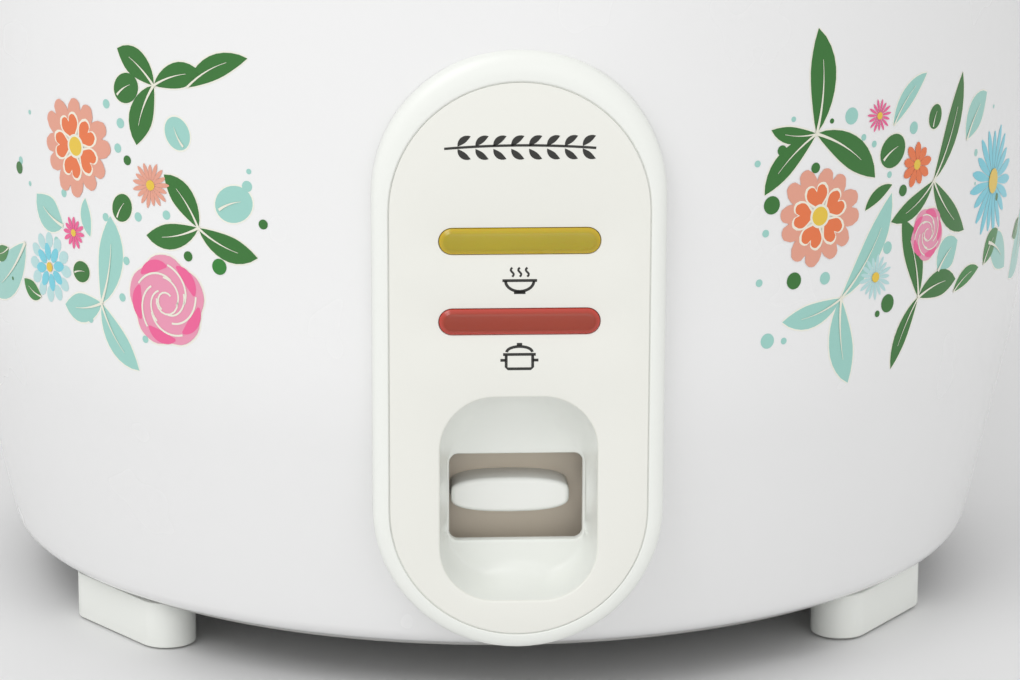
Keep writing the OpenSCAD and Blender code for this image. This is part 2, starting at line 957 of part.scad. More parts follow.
// Strap bent down from the heating plate, drawn from the side and cut to its width
module sensor_bracket() {
    leg = strap_x - strap_foot;
    half = [
        [leg + strap_t, strap_z], [leg + strap_t, hot_low - strap_t], [strap_x, hot_low - strap_t],
        [strap_x, hot_low], [leg, hot_low], [leg, strap_z + strap_t]];
    color("silver")
        difference() {
            upright(-strap_w / 2, strap_w)
                polygon(concat(half, [for (p = reversed(half)) [-p.x, p.y]]));
            for (s = [-1, 1])
                translate([s * bolt_x, 0, hot_low - 2 * strap_t])
                    cylinder(r = bolt_r + screw_gap, h = 3 * strap_t);
            translate([0, 0, strap_z - strap_t])
                cylinder(r = collar_r + 1, h = 3 * strap_t);
        }
}

module bracket_bolts() {
    color("silver")
        for (s = [-1, 1])
            translate([s * bolt_x, 0, hot_low - strap_t])
                screw(bolt_r, strap_t + 4, 2.8, 1.6);
}

module sensor_housing() {
    color("silver")
        difference() {
            union() {
                translate([0, 0, housing_z])
                    cylinder(r = housing_r, h = housing_h);
                translate([0, 0, housing_z])
                    cylinder(r = housing_r + housing_flange.x, h = housing_flange.y);
            }
            translate([0, 0, housing_z + housing_flange.y])
                cylinder(r = housing_r - housing_wall, h = housing_h);
            translate([0, 0, housing_z - 1])
                cylinder(r = rod_r + fit, h = 4);
        }
}

module sensor_cap() {
    color("gainsboro")
        difference() {
            translate([0, 0, hot_low - cap_skirt])
                cylinder(r = cap_r, h = hot_t + cap_skirt - fit);
            translate([0, 0, hot_low - cap_skirt - 1])
                cylinder(r = cap_r - cap_wall, h = hot_t + cap_skirt + 1 - fit - cap_top);
        }
}

module sensor_ferrite() {
    color("black")
        translate([0, 0, ferrite_z])
            cylinder(r = magnet_r, h = hot_z - fit - cap_top - ferrite_z);
}

module sensor_spring() {
    color("silver")
        translate([0, 0, housing_z + housing_h + coil_gap])
            coil(coil_r, coil_wire, hot_z - fit - cap_top - housing_z - housing_h - 2 * coil_gap, coil_turns);
}

module magnet_rod() {
    low = collar_z - lift_gap - lift_pad_t - rod_tail;
    color("slategray") {
        translate([0, 0, low])
            cylinder(r = rod_r, h = magnet_z - low);
        translate([0, 0, low])
            cylinder(r = collar_r, h = rod_collar_t);
        translate([0, 0, collar_z])
            cylinder(r = collar_r, h = collar_t);
        translate([0, 0, magnet_z])
            cylinder(r = magnet_r, h = magnet_t);
    }
}

// ---- Lever ----

module lever_arm() {
    color("silver")
        difference() {
            union() {
                // Stamped arm: low under the sensor, raised to the knob
                sideways(arm_t, knob_x)
                    polygon([
                        [-arm_end, arm_low], [-arm_end, arm_low + arm_h], [bend_y, arm_low + arm_h],
                        [rise_y, knob_z + arm_h / 2], [knob_y + arm_tip.x, knob_z + arm_h / 2 - arm_tip.y],
                        [knob_y + arm_tip.x, knob_z - arm_h / 2 + arm_tip.y],
                        [rise_y - arm_rise, knob_z - arm_h / 2],
                        [switch_y - 4, arm_low]]);
                translate([-hub_w / 2, -pivot_y, pivot_z])
                    rotate([0, 90, 0])
                        cylinder(r = hub_r, h = hub_w);
                translate([-lift_pad.x / 2, -pad_end, pad_z])
                    cube([lift_pad.x, lift_pad.y, lift_pad_t]);
            }
            translate([-hub_w, -pivot_y, pivot_z])
                rotate([0, 90, 0])
                    cylinder(r = pin_r + pin_play, h = 2 * hub_w);
            translate([0, 0, pad_z - 1])
                cylinder(r = rod_r + 1.1, h = lift_pad_t + 2);
        }
}

// Knob, arched above and below, with round ends
module lever_knob() {
    arch_r = knob_w * 1.6;
    color("white")
        difference() {
            translate([knob_x, 0, knob_z])
                upright(knob_y, knob_depth)
                    intersection() {
                        bar(knob_w, knob_h + 2.4);
                        translate([0, knob_h / 2 - arch_r])
                            circle(arch_r);
                        translate([0, arch_r - knob_h / 2])
                            circle(arch_r);
                    }
            sideways(arm_t + 2 * fit, knob_x)
                polygon([
                    [knob_y + 2 - fit, knob_z - arm_h / 2 + 1 - fit - 0.1],
                    [shield_y + 5, knob_z - arm_h / 2 - 1],
                    [shield_y + 5, knob_z + arm_h / 2 + 1],
                    [knob_y + 2 - fit, knob_z + arm_h / 2 - 1 + fit + 0.1]]);
        }
}

module dust_shield() {
    color("tan")
        difference() {
            upright(shield_y, shield_t)
                translate([0, slot_mid])
                    square([slot_w + 5, slot_h + 14], center = true);
            sideways(arm_t + 2 * fit, knob_x)
                polygon([
                    [shield_y - 5, knob_z - arm_h / 2 - 1], [shield_y + 5, knob_z - arm_h / 2 - 1],
                    [shield_y + 5, knob_z + arm_h / 2 + 1], [shield_y - 5, knob_z + arm_h / 2 + 1]]);
        }
}

module lever_bracket() {
    color("silver")
        difference() {
            union() {
                translate([-ear_x - ear_t, -pivot_y - bracket_l / 2, shell_z])
                    cube([2 * (ear_x + ear_t), bracket_l, bracket_t]);
                for (s = [0, 1])
                    mirror([s, 0, 0])
                        translate([ear_x, -pivot_y - ear_w / 2, shell_z])
                            cube([ear_t, ear_w, pivot_z + 6 - shell_z]);
            }
            translate([-hub_w, -pivot_y, pivot_z])
                rotate([0, 90, 0])
                    cylinder(r = pin_r + 0.05, h = 2 * hub_w);
            at_lever_rivets()
                translate([0, 0, shell_z - 1])
                    cylinder(r = rivet_r + screw_gap, h = bracket_t + 2);
        }
}

module at_lever_rivets() {
    for (y = [-rivet_y, rivet_y])
        translate([0, y - pivot_y, 0])
            children();
}

module lever_rivets() {
    color("silver")
        at_lever_rivets() {
            translate([0, 0, cover_z])
                screw(rivet_r, cover_t + bracket_t + 0.1, rivet_head.x, rivet_head.y);
            translate([0, 0, shell_z + bracket_t + 0.1])
                cylinder(r = rivet_head.x, h = rivet_head.y);
        }
}

module lever_pin() {
    head_t = 2.3;
    color("slategray")
        translate([-ear_x - ear_t - 0.2, -pivot_y, pivot_z])
            rotate([0, 90, 0])
                screw(pin_r, 2 * (ear_x + ear_t) + 1.7, pin_r + 1.5, head_t);
}

module lever_spring() {
    color("silver")
        translate([knob_x, tension_y, shell_z + 0.05])
            rotate(90)
                coil(3, 0.45, arm_low - shell_z - 0.1, 5);
}

// ---- Micro switch ----

module at_switch_screws() {
    for (x = [-1, 1])
        translate([x * (switch_w + switch_ear.x) / 2, switch_y, 0])
            children();
}

module switch_body() {
    color("black")
        difference() {
            union() {
                translate([-switch_w / 2, switch_y - switch_l / 2, shell_z])
                    cube([switch_w, switch_l, switch_top - shell_z]);
                translate([-switch_w / 2 - switch_ear.x, switch_y - switch_ear.y / 2, shell_z])
                    cube([switch_w + 2 * switch_ear.x, switch_ear.y, switch_ear.z]);
            }
            translate([knob_x, switch_y, switch_top - plunger_sunk - 2])
                cylinder(r = plunger_r + 0.08, h = 10);
            at_switch_screws()
                translate([0, 0, shell_z - 1])
                    cylinder(r = switch_screw_r + screw_gap, h = switch_ear.z + 2);
        }
}

module switch_plunger() {
    color("crimson")
        translate([knob_x, switch_y, switch_top - plunger_sunk])
            cylinder(r = plunger_r, h = arm_low - plunger_gap - switch_top + plunger_sunk);
}

module switch_screws() {
    color("silver")
        at_switch_screws()
            translate([0, 0, cover_z])
                screw(switch_screw_r, cover_t + switch_ear.z + 1.5, 2.2, 1.2);
}

// ---- Other electrical pieces ----

// Places a rod of radius r and length l where the fuse lies, on the ring of the posts
module fuse_rod(r, l) {
    rotate(fuse_a)
        translate([post_ring, l / 2, fuse_z])
            rotate([90, 0, 0])
                cylinder(r = r, h = l);
}

module thermal_fuse() {
    color("lightyellow") {
        fuse_rod(fuse_r, fuse_l);
        fuse_rod(fuse_lead_r, fuse_lead_l);
    }
}

module fuse_clip() {
    color("silver")
        difference() {
            rotate(fuse_a)
                translate([post_ring - clip.x / 2, -clip.y / 2, hot_low - clip.z])
                    cube(clip);
            fuse_rod(fuse_r + fit, fuse_l);
        }
}

module warm_heater() {
    color("darkorange")
        ring(liner_r + liner_t + fit, liner_r + liner_t + fit + heater_t, heater_z, heater_z + heater_h);
}

module terminal_block() {
    color("ivory")
        translate([block_at.x, block_at.y, shell_z])
            difference() {
                cube(block);
                for (i = [-1, 0, 1])
                    translate([block.x / 2 + i * block_pitch, 0, 0]) {
                        translate([0, block.y / 2, block_well.y])
                            cylinder(r = block_well.x, h = block.z);
                        translate([0, -1, block_well.y + 3])
                            rotate([-90, 0, 0])
                                cylinder(r = block_hole_r, h = block.y + 2);
                    }
            }
}

// ---- Power inlet ----

module power_inlet() {
    color("black")
        difference() {
            union() {
                difference() {
                    upright(inlet_y - inlet_saddle, inlet_saddle)
                        translate([0, inlet_z])
                            rounded_rect(inlet_w, inlet_h, 4);
                    shell_space(fit);
                }
                upright(inlet_back, inlet_depth)
                    translate([0, inlet_z])
                        rounded_rect(inlet_cavity_w + 4, inlet_cavity_h + 4, 3);
            }
            upright(inlet_back + 5, inlet_depth + 5)
                translate([0, inlet_z])
                    rounded_rect(inlet_cavity_w, inlet_cavity_h, 2.5);
            for (i = [-1, 0, 1])
                translate([i * inlet_pitch, inlet_back - 1, inlet_z])
                    rotate([-90, 0, 0])
                        cylinder(r = inlet_pin_r + 0.05, h = 10);
            for (x = [-1, 1])
                translate([x * inlet_screw_x, inlet_y + 1, inlet_z])
                    rotate([90, 0, 0])
                        cylinder(r = panel_screw_r + screw_gap, h = 40);
        }
}

module inlet_pins() {
    color("gold")
        for (i = [-1, 0, 1])
            translate([i * inlet_pitch, inlet_back - 8, inlet_z])
                rotate([-90, 0, 0])
                    union() {
                        cylinder(r = inlet_pin_r, h = inlet_depth + 6);
                        translate([0, 0, inlet_depth + 6])
                            sphere(inlet_pin_r);
                    }
}

module inlet_screws() {
    color("silver")
        for (x = [-1, 1])
            translate([x * inlet_screw_x, inlet_y, inlet_z])
                rotate([90, 0, 0])
                    screw(panel_screw_r, inlet_saddle, 2.8, 1.4);
}

// ---- Pot ----

module inner_pot() {
    c = [pot_r - pot_corner, hot_z + pot_corner];
    color("silver")
        rotate_extrude()
            polygon(concat(
                [[0, hot_z]],
                arc(c, pot_corner, 90, 0),
                [[pot_r, flange_z], [flange_r, flange_z], [flange_r, pot_top], [pot_r - pot_t, pot_top]],
                arc(c, pot_corner - pot_t, 0, 90),
                [[0, hot_z + pot_t]]));
}

// ---- Lid ----

module lid_glass() {
    color("lightcyan", 0.4)
        difference() {
            rotate_extrude()
                intersection() {
                    translate([0, dome_c])
                        difference() {
                            circle(dome_r);
                            circle(dome_r - glass_t);
                        }
                    translate([0, lid_z + band_t + fit])
                        square([glass_r - fit, dome_rise * 2]);
                }
            translate([0, 0, dome_top - 20])
                cylinder(r = lid_screw_r + 1, h = 40);
            translate([0, -vent_x, vent_z - 20])
                cylinder(r = vent_hole, h = 40);
        }
}

module lid_rim() {
    color("silver")
        rotate_extrude()
            polygon([
                [glass_r - band_under, lid_z], [band_r, lid_z], [band_r, dome_at(glass_r) + fit + band_t / 2],
                [glass_r, dome_at(glass_r) + fit + band_t], [band_lip, dome_at(band_lip) + fit + band_t],
                [band_lip, dome_at(band_lip) + fit], [glass_r, dome_at(glass_r) + fit],
                [glass_r, lid_z + band_t], [glass_r - band_under, lid_z + band_t]]);
}

module vent_grommet() {
    color("silver")
        translate([0, -vent_x, 0])
            difference() {
                union() {
                    translate([0, 0, vent_z - glass_t - 1.6])
                        cylinder(r = vent_hole - fit, h = glass_t + 1.6 + vent_lift + vent_flange.y);
                    translate([0, 0, vent_z + vent_lift])
                        cylinder(r = vent_flange.x, h = vent_flange.y);
                }
                translate([0, 0, vent_z - 20])
                    cylinder(r = 2, h = 40);
            }
}

module lid_knob() {
    r = lid_knob_r;
    h = lid_knob_h;
    base_r = r * 0.72;
    waist = h * 0.2;
    edge = h * 0.17;
    color("white")
        difference() {
            translate([0, 0, lid_knob_z])
                rotate_extrude()
                    polygon(concat(
                        [[0, 0], [base_r, 0], [base_r, 2]],
                        arc([base_r + waist / 2, 3 + waist * 0.77], waist, 130, 230),
                        arc([r - edge, h * 0.86 - edge], edge, 60, -70),
                        [[r * 0.5, h * 0.95], [0, h]]));
            translate([0, 0, lid_knob_z - 1])
                cylinder(r = lid_screw_r + 0.05, h = 17);
        }
}

// Height of the glass's top at radius r
function dome_at(r) = dome_c + sqrt(dome_r * dome_r - r * r);

module knob_washer() {
    hole = lid_screw_r + screw_gap;
    edge = lid_knob_r * 0.6;
    color("dimgray")
        rotate_extrude()
            polygon([
                [hole, dome_at(hole) + 0.05], [edge, dome_at(edge) + 0.05],
                [edge, lid_knob_z], [hole, lid_knob_z]]);
}

module knob_screw() {
    color("silver")
        translate([0, 0, dome_top - glass_t - 0.6])
            screw(lid_screw_r, glass_t + 13, 6, 2.2);
}

body_shell();
body_rim();
inner_liner();
base_cover();
foot_front_left();
foot_front_right();
foot_rear_left();
foot_rear_right();
foot_pads();
foot_screws();
handle_left();
handle_right();
handle_screws();
panel_bezel();
face_plate();
warm_lens();
cook_lens();
bezel_screws();
lamp_holder();
warm_lamp();
cook_lamp();
heating_plate();
heating_element();
element_terminals();
plate_posts();
post_screws();
sensor_bracket();
bracket_bolts();
sensor_housing();
sensor_cap();
sensor_ferrite();
sensor_spring();
magnet_rod();
lever_arm();
lever_knob();
dust_shield();
lever_bracket();
lever_rivets();
lever_pin();
lever_spring();
switch_body();
switch_plunger();
switch_screws();
thermal_fuse();
fuse_clip();
warm_heater();
terminal_block();
power_inlet();
inlet_pins();
inlet_screws();
inner_pot();
lid_glass();
lid_rim();
vent_grommet();
lid_knob();
knob_washer();
knob_screw();
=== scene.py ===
"""Finishes and fine shapes of a lever rice cooker, built around its packed frame."""

import json
import math
import random

import bmesh
import bpy
from bpy.props import BoolProperty, FloatProperty, FloatVectorProperty, IntProperty, PointerProperty
from mathutils import Matrix, Vector


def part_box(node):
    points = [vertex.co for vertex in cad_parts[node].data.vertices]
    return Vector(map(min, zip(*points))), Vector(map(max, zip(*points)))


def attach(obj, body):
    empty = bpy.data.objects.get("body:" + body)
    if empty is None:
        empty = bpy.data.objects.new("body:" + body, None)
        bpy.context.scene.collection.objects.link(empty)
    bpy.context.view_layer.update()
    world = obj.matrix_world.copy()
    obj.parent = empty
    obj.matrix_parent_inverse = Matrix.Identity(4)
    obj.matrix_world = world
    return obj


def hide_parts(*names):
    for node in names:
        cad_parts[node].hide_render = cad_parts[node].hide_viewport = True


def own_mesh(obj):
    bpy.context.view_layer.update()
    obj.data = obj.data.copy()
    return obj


bl_info = {
    "name": "Rice Cooker Finishes",
    "version": (1, 0, 0),
    "blender": (4, 5, 0),
    "location": "View3D > Sidebar > Cooker",
    "description": "Enamelled shell, printed flowers, control panel, pot, lid and fittings of a rice cooker",
    "category": "Object",
}

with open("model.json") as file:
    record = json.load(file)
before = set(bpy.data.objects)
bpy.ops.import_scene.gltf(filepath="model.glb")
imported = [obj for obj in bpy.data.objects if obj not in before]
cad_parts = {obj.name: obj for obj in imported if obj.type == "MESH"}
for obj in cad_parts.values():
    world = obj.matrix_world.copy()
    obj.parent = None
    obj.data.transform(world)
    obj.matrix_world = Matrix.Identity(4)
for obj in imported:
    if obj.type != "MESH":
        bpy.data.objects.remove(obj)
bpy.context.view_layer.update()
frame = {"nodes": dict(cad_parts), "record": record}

MM = 0.001
NODES = frame["nodes"]
RECORD = frame["record"]
NODE_SLOT = {part["node"]: part["material_slot"] for part in RECORD["subparts"]}
NODE_BODY = {n: b for b, group in RECORD["behaviour"]["bodies"].items() for n in group}
CORNERS = {node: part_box(node) for node in NODES}


def low(node, axis):
    """Lowest coordinate of a CAD node along an axis, in millimetres."""
    return CORNERS[node][0][axis] / MM


def high(node, axis):
    """Highest coordinate of a CAD node along an axis, in millimetres."""
    return CORNERS[node][1][axis] / MM


def mid(node, axis):
    """Middle of a CAD node along an axis, in millimetres."""
    return (low(node, axis) + high(node, axis)) / 2


def srgb(r, g, b):
    """A colour from its usual 0 to 255 values, in the linear values that shaders use."""
    def linear(c):
        c = c / 255
        return c / 12.92 if c <= 0.04045 else ((c + 0.055) / 1.055) ** 2.4
    return (linear(r), linear(g), linear(b))


# Places taken from the frame, in millimetres
SHELL_R = high("body_shell", 0)
SHELL_LOW = low("body_shell", 2)
SHELL_TOP = high("body_shell", 2)
PANEL_Y = low("face_plate", 1)
POCKET_Y = high("face_plate", 1) + 0.1
BEZEL_HALF = high("panel_bezel", 0)
BEZEL_LOW = low("panel_bezel", 2)
BEZEL_TOP = high("panel_bezel", 2)
KNOB_Y = low("lever_knob", 1)
SHIELD_Y = low("dust_shield", 1)
QUARTER_TURN = SHELL_R * math.pi / 2


# ---- Sizes and colours a user would change ----

def length(name, description, default):
    """A length that a user can change; its default is in millimetres."""
    return FloatProperty(name=name, description=description, default=default * MM, subtype="DISTANCE", unit="LENGTH")


def angle(name, description, default):
    """An angle that a user can change; its default is in degrees."""
    return FloatProperty(name=name, description=description, default=math.radians(default), subtype="ANGLE")


def colour(name, description, value):
    """A colour that a user can change."""
    return FloatVectorProperty(name=name, description=description, default=value, subtype="COLOR", size=3, min=0, max=1)


class CookerShellSizes(bpy.types.PropertyGroup):
    """Outline of the enamelled shell."""
    taper_z: length("Taper height", "Height at which the wall starts to curve in", 86)
    taper_r: length("Taper radius", "Radius of the curve between the upper and the lower wall", 109)
    taper_a: angle("Taper angle", "Slope of the lower wall from upright", 12)
    corner_r: length("Corner radius", "Radius of the shell's bottom corner", 5)
    lip_w: length("Lip width", "Width of the flat lip under the shell", 16)
    sheet: length("Sheet", "Thickness of the shell's sheet steel", 1)
    segments: IntProperty(name="Segments", description="Steps round the shell", default=288)


class CookerPanelSizes(bpy.types.PropertyGroup):
    """Control panel on the front."""
    seam: length("Seam", "Width of the seam around the face plate", 0.25)
    recess_w: length("Recess width", "Width of the finger recess", 36)
    recess_low: length("Recess bottom", "Height of the recess's lower edge", 29.5)
    recess_high: length("Recess top", "Height of the recess's upper edge", 77.7)
    recess_r: length("Recess corner", "Corner radius of the recess", 12.5)
    recess_depth: length("Recess depth", "Depth of the recess", 12.6)
    recess_rim: length("Recess rim", "Width of the bezel's rim around the recess", 0.6)
    slot_w: length("Slot width", "Width of the lever slot", 30.9)
    slot_low: length("Slot bottom", "Height of the slot's lower edge", 40.4)
    slot_high: length("Slot top", "Height of the slot's upper edge", 61)
    slot_r: length("Slot corner", "Corner radius of the slot", 2.1)
    lens_w: length("Lens width", "Length of a lamp lens", 36.4)
    lens_h: length("Lens height", "Height of a lamp lens", 5.9)


class CookerPrintSizes(bpy.types.PropertyGroup):
    """Flower print on the shell."""
    film: length("Film", "Thickness of one layer of ink", 0.02)
    cell: length("Cell", "Longest edge in the print's mesh", 2.4)
    dots: IntProperty(name="Dots", description="Small scattered dots at the sides", default=8)
    seed: IntProperty(name="Seed", description="Seed of the scattered dots", default=7)
    wrap: BoolProperty(name="Wrap round", description="Carry the print round the sides and the back", default=True)


class CookerColours(bpy.types.PropertyGroup):
    """Colours of the cooker."""
    enamel: colour("Enamel", "White enamel of the shell", srgb(236, 236, 236))
    bezel: colour("Bezel", "Plastic of the bezel, the feet, the handles and the lid's knob", srgb(237, 239, 234))
    plate: colour("Face plate", "Plastic of the face plate", srgb(234, 234, 227))
    knob: colour("Knob", "Plastic of the lever's knob", srgb(238, 239, 235))
    warm: colour("Warm lens", "Lens of the warm lamp", srgb(176, 157, 0))
    # The lens edge colours are painted light: brighter, more saturated tints that stand in for light gathered in the
    # lenses' bevelled edges
    warm_edge: colour("Warm lens edge", "Edge of the warm lens", srgb(196, 166, 14))
    cook: colour("Cook lens", "Lens of the cook lamp", srgb(156, 46, 10))
    cook_edge: colour("Cook lens edge", "Edge of the cook lens", srgb(190, 62, 48))
    shield: colour("Dust shield", "Plate behind the lever knob", srgb(238, 226, 208))
    marks: colour("Marks", "Printed marks on the face plate", srgb(40, 40, 36))
    floor: colour("Floor", "Floor of the stage", srgb(229, 229, 229))


class CookerStageSizes(bpy.types.PropertyGroup):
    """Camera and light."""
    distance: length("Distance", "Camera's distance from the cooker's axis", 1000)
    azimuth: angle("Azimuth", "Camera's place round the cooker, from the front", -2.67)
    height: length("Height", "Camera's height above the table", 306.9)
    pitch: angle("Pitch", "How far the camera looks down", 14.07)
    heading: angle("Heading", "How far the camera turns to the right", 2.96)
    roll: angle("Roll", "Camera's tilt about its own axis", 0.2)
    lens: FloatProperty(name="Lens", description="Focal length in millimetres", default=138.6, unit="CAMERA")
    key: FloatProperty(name="Key light", description="Power of the key light", default=5.5, unit="POWER")
    fill: FloatProperty(name="Fill light", description="Power of the fill light", default=1.7, unit="POWER")
    sky: FloatProperty(name="Sky", description="Strength of the light from all round", default=0.86)


def sizes(group):
    """A property group's lengths as plain numbers in millimetres."""
    values = {}
    for name in group.__annotations__:
        value = getattr(group, name)
        is_length = group.bl_rna.properties[name].subtype == "DISTANCE"
        values[name] = value / MM if is_length else value
    return type("Sizes", (), values)


# ---- Meshes ----

def linked(name, data):
    """A new object in the scene, from its mesh, camera or light."""
    obj = bpy.data.objects.new(name, data)
    bpy.context.scene.collection.objects.link(obj)
    return obj


def smooth(mesh, below):
    """Shades a mesh smooth, apart from edges as sharp as an angle."""
    mesh.shade_smooth()
    mesh.set_sharp_from_angle(angle=math.radians(below))


def piece(name, verts, faces, smooth_below=35):
    """A new object from points in millimetres, smooth across edges flatter than an angle."""
    mesh = bpy.data.meshes.new(name)
    mesh.from_pydata([(x * MM, y * MM, z * MM) for x, y, z in verts], [], faces)
    mesh.validate()
    obj = linked(name, mesh)
    tidy_normals(obj, smooth_below)
    return obj


def tidy_normals(obj, smooth_below=35):
    """Merges doubled points, turns every face outwards and marks the sharp edges."""
    bm = bmesh.new()
    bm.from_mesh(obj.data)
    bmesh.ops.remove_doubles(bm, verts=bm.verts, dist=1e-7)
    bmesh.ops.recalc_face_normals(bm, faces=bm.faces)
    bm.to_mesh(obj.data)
    bm.free()
    smooth(obj.data, smooth_below)


def applied(obj):
    """Applies all of an object's modifiers."""
    depsgraph = bpy.context.evaluated_depsgraph_get()
    mesh = bpy.data.meshes.new_from_object(obj.evaluated_get(depsgraph))
    obj.modifiers.clear()
    old = obj.data
    obj.data = mesh
    mesh.name = obj.name
    bpy.data.meshes.remove(old)
    return obj


def joined(name, objects, smooth_below=35):
    """One object from several, with their materials dropped."""
    bm = bmesh.new()
    for obj in objects:
        bm.from_mesh(obj.data)
    mesh = bpy.data.meshes.new(name)
    bm.to_mesh(mesh)
    bm.free()
    for obj in objects:
        bpy.data.objects.remove(obj)
    smooth(mesh, smooth_below)
    return linked(name, mesh)


def placed(obj, slot, *nodes, body=None, finish=None):
    """Gives a piece its body, slot and finish, and the CAD nodes that it stands for."""
    obj.data.materials.clear()
    obj.data.materials.append(need(finish or slot))
    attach(obj, body or NODE_BODY[nodes[0]])
    if nodes:
        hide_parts(*nodes)
    return obj


def loft(name, rings, closed=True, smooth_below=35):
    """A skin over rings that have the same number of points. Closed rings join the last to the first."""
    n = len(rings[0])
    verts = [p for ring in rings for p in ring]
    spans = len(rings) if closed else len(rings) - 1
    faces = [(i * n + j, i * n + (j + 1) % n, (i + 1) % len(rings) * n + (j + 1) % n, (i + 1) % len(rings) * n + j)
             for i in range(spans) for j in range(n)]
    if not closed:
        faces.append(tuple(range(n)))
        faces.append(tuple((len(rings) - 1) * n + j for j in range(n)))
    return piece(name, verts, faces, smooth_below)


def rounded(points, steps=5):
    """A closed outline with its corners rounded. Each point is x, y and the corner's radius."""
    out = []
    count = len(points)
    for i, (x, y, r) in enumerate(points):
        if r == 0:
            out.append((x, y))
            continue
        here = Vector((x, y))
        before = Vector(points[i - 1][:2]) - here
        after = Vector(points[(i + 1) % count][:2]) - here
        half = before.angle(after) / 2
        cut = min(r / math.tan(half), before.length * 0.49, after.length * 0.49)
        start = here + before.normalized() * cut
        end = here + after.normalized() * cut
        for k in range(steps + 1):
            t = k / steps
            p = start * (1 - t) ** 2 + here * 2 * t * (1 - t) + end * t * t
            out.append((p.x, p.y))
    return out


def lathe(name, outline, segments=192, smooth_below=35):
    """Turns an outline of (radius, height) about Z. Points on the axis become one point."""
    axis = 1e-4
    verts, rows = [], []
    for r, z in outline:
        if r < axis:
            rows.append([len(verts)] * segments)
            verts.append((0, 0, z))
        else:
            rows.append(list(range(len(verts), len(verts) + segments)))
            verts += [(r * math.cos(2 * math.pi * k / segments), r * math.sin(2 * math.pi * k / segments), z)
                      for k in range(segments)]
    faces = []
    for a, b in zip(rows, rows[1:] + rows[:1]):
        for k in range(segments):
            n = (k + 1) % segments
            corners = [a[k], a[n], b[n], b[k]]
            face = [c for i, c in enumerate(corners) if c != corners[i - 1]]
            if len(set(face)) > 2:
                faces.append(face)
    return piece(name, verts, faces, smooth_below)


def sweep(name, path, section, up, smooth_below=35):
    """Carries a section of (side, up) points along a path, with its ends closed."""
    rings = []
    for i, p in enumerate(path):
        here = Vector(p)
        ahead = (Vector(path[min(i + 1, len(path) - 1)]) - Vector(path[max(i - 1, 0)])).normalized()
        side = ahead.cross(Vector(up)).normalized()
        top = side.cross(ahead)
        rings.append([tuple(here + side * a + top * b) for a, b in section])
    return loft(name, rings, closed=False, smooth_below=smooth_below)


def flat_plate(name, outlines, y_front, y_back, edges):
    """An upright plate, cut by the outlines after the first. Each outline has its own front rounding."""
    bm = bmesh.new()
    caps = ([], [])
    steps = 4
    turns = [math.pi / 2 * i / steps for i in range(steps + 1)]
    for number, (outline, e) in enumerate(zip(outlines, edges)):
        side = 1 if number == 0 else -1
        section = [(e * (1 - math.sin(a)), y_front + e * (1 - math.cos(a))) for a in turns] + [(0, y_back)]
        rings = [[bm.verts.new((x * MM, y * MM, z * MM)) for x, z in shrunk(outline, side * d)] for d, y in section]
        n = len(outline)
        for lower, upper in zip(rings, rings[1:]):
            for k in range(n):
                bm.faces.new((lower[k], lower[(k + 1) % n], upper[(k + 1) % n], upper[k]))
        for cap, ring in ((caps[0], rings[0]), (caps[1], rings[-1])):
            cap += [bm.edges.get((ring[k], ring[(k + 1) % n])) for k in range(n)]
    for cap in caps:
        bmesh.ops.triangle_fill(bm, use_beauty=True, edges=cap)
    mesh = bpy.data.meshes.new(name)
    bm.to_mesh(mesh)
    bm.free()
    plate = linked(name, mesh)
    tidy_normals(plate, 40)
    return plate


def softened(node, width, name=None, segments=2, smooth_below=30):
    """A copy of a CAD node with its hard edges rounded off."""
    bm = bmesh.new()
    bm.from_mesh(NODES[node].data)
    bmesh.ops.remove_doubles(bm, verts=bm.verts, dist=2e-6)
    bmesh.ops.dissolve_limit(bm, angle_limit=math.radians(0.5), verts=bm.verts, edges=bm.edges)
    mesh = bpy.data.meshes.new(name or node + "_soft")
    bm.to_mesh(mesh)
    bm.free()
    obj = linked(mesh.name, mesh)
    bevel = obj.modifiers.new("edges", "BEVEL")
    bevel.width = width * MM
    bevel.segments = segments
    bevel.limit_method = "ANGLE"
    bevel.angle_limit = math.radians(35)
    bevel.use_clamp_overlap = True
    applied(obj)
    smooth(obj.data, smooth_below)
    return obj


# ---- Outlines ----

def standing(outline, y):
    """The points of an upright outline, all at one depth."""
    return [(x, y, z) for x, z in outline]


def stadium(half, z0, z1, steps=40, sides=24):
    """A standing outline with round ends, as (x, z), from the right-hand side upwards."""
    low_c, high_c = z0 + half, z1 - half
    right = [(half, low_c + (high_c - low_c) * i / sides) for i in range(sides)]
    top = [(half * math.cos(math.pi * i / steps), high_c + half * math.sin(math.pi * i / steps))
           for i in range(steps)]
    left = [(-half, high_c + (low_c - high_c) * i / sides) for i in range(sides)]
    bottom = [(-half * math.cos(math.pi * i / steps), low_c - half * math.sin(math.pi * i / steps))
              for i in range(steps)]
    return right + top + left + bottom


def rounded_box(w, z0, z1, r, steps=12, sides=12):
    """A rounded rectangle as (x, z), from the right-hand side upwards."""
    corners = [(w / 2 - r, z1 - r, 0), (r - w / 2, z1 - r, 90), (r - w / 2, z0 + r, 180), (w / 2 - r, z0 + r, 270)]
    arcs = [[(x + r * math.cos(math.radians(a + 90 * i / steps)), z + r * math.sin(math.radians(a + 90 * i / steps)))
             for i in range(steps + 1)] for x, z, a in corners]
    out = []
    for k in range(4):
        start, end = Vector(arcs[k - 1][-1]), Vector(arcs[k][0])
        out += [tuple(start.lerp(end, i / sides)) for i in range(1, sides)]
        out += arcs[k]
    return out


def bar(w, h, z, steps=14, sides=12):
    """A lying outline with round ends, as (x, z)."""
    r = h / 2
    out = []
    for side in (1, -1):
        out += [(side * (w / 2 - r + r * math.sin(math.pi * i / steps)), z - side * r * math.cos(math.pi * i / steps))
                for i in range(steps + 1)]
        out += [(side * (w / 2 - r) * (1 - 2 * i / sides), z + side * r) for i in range(1, sides)]
    return out


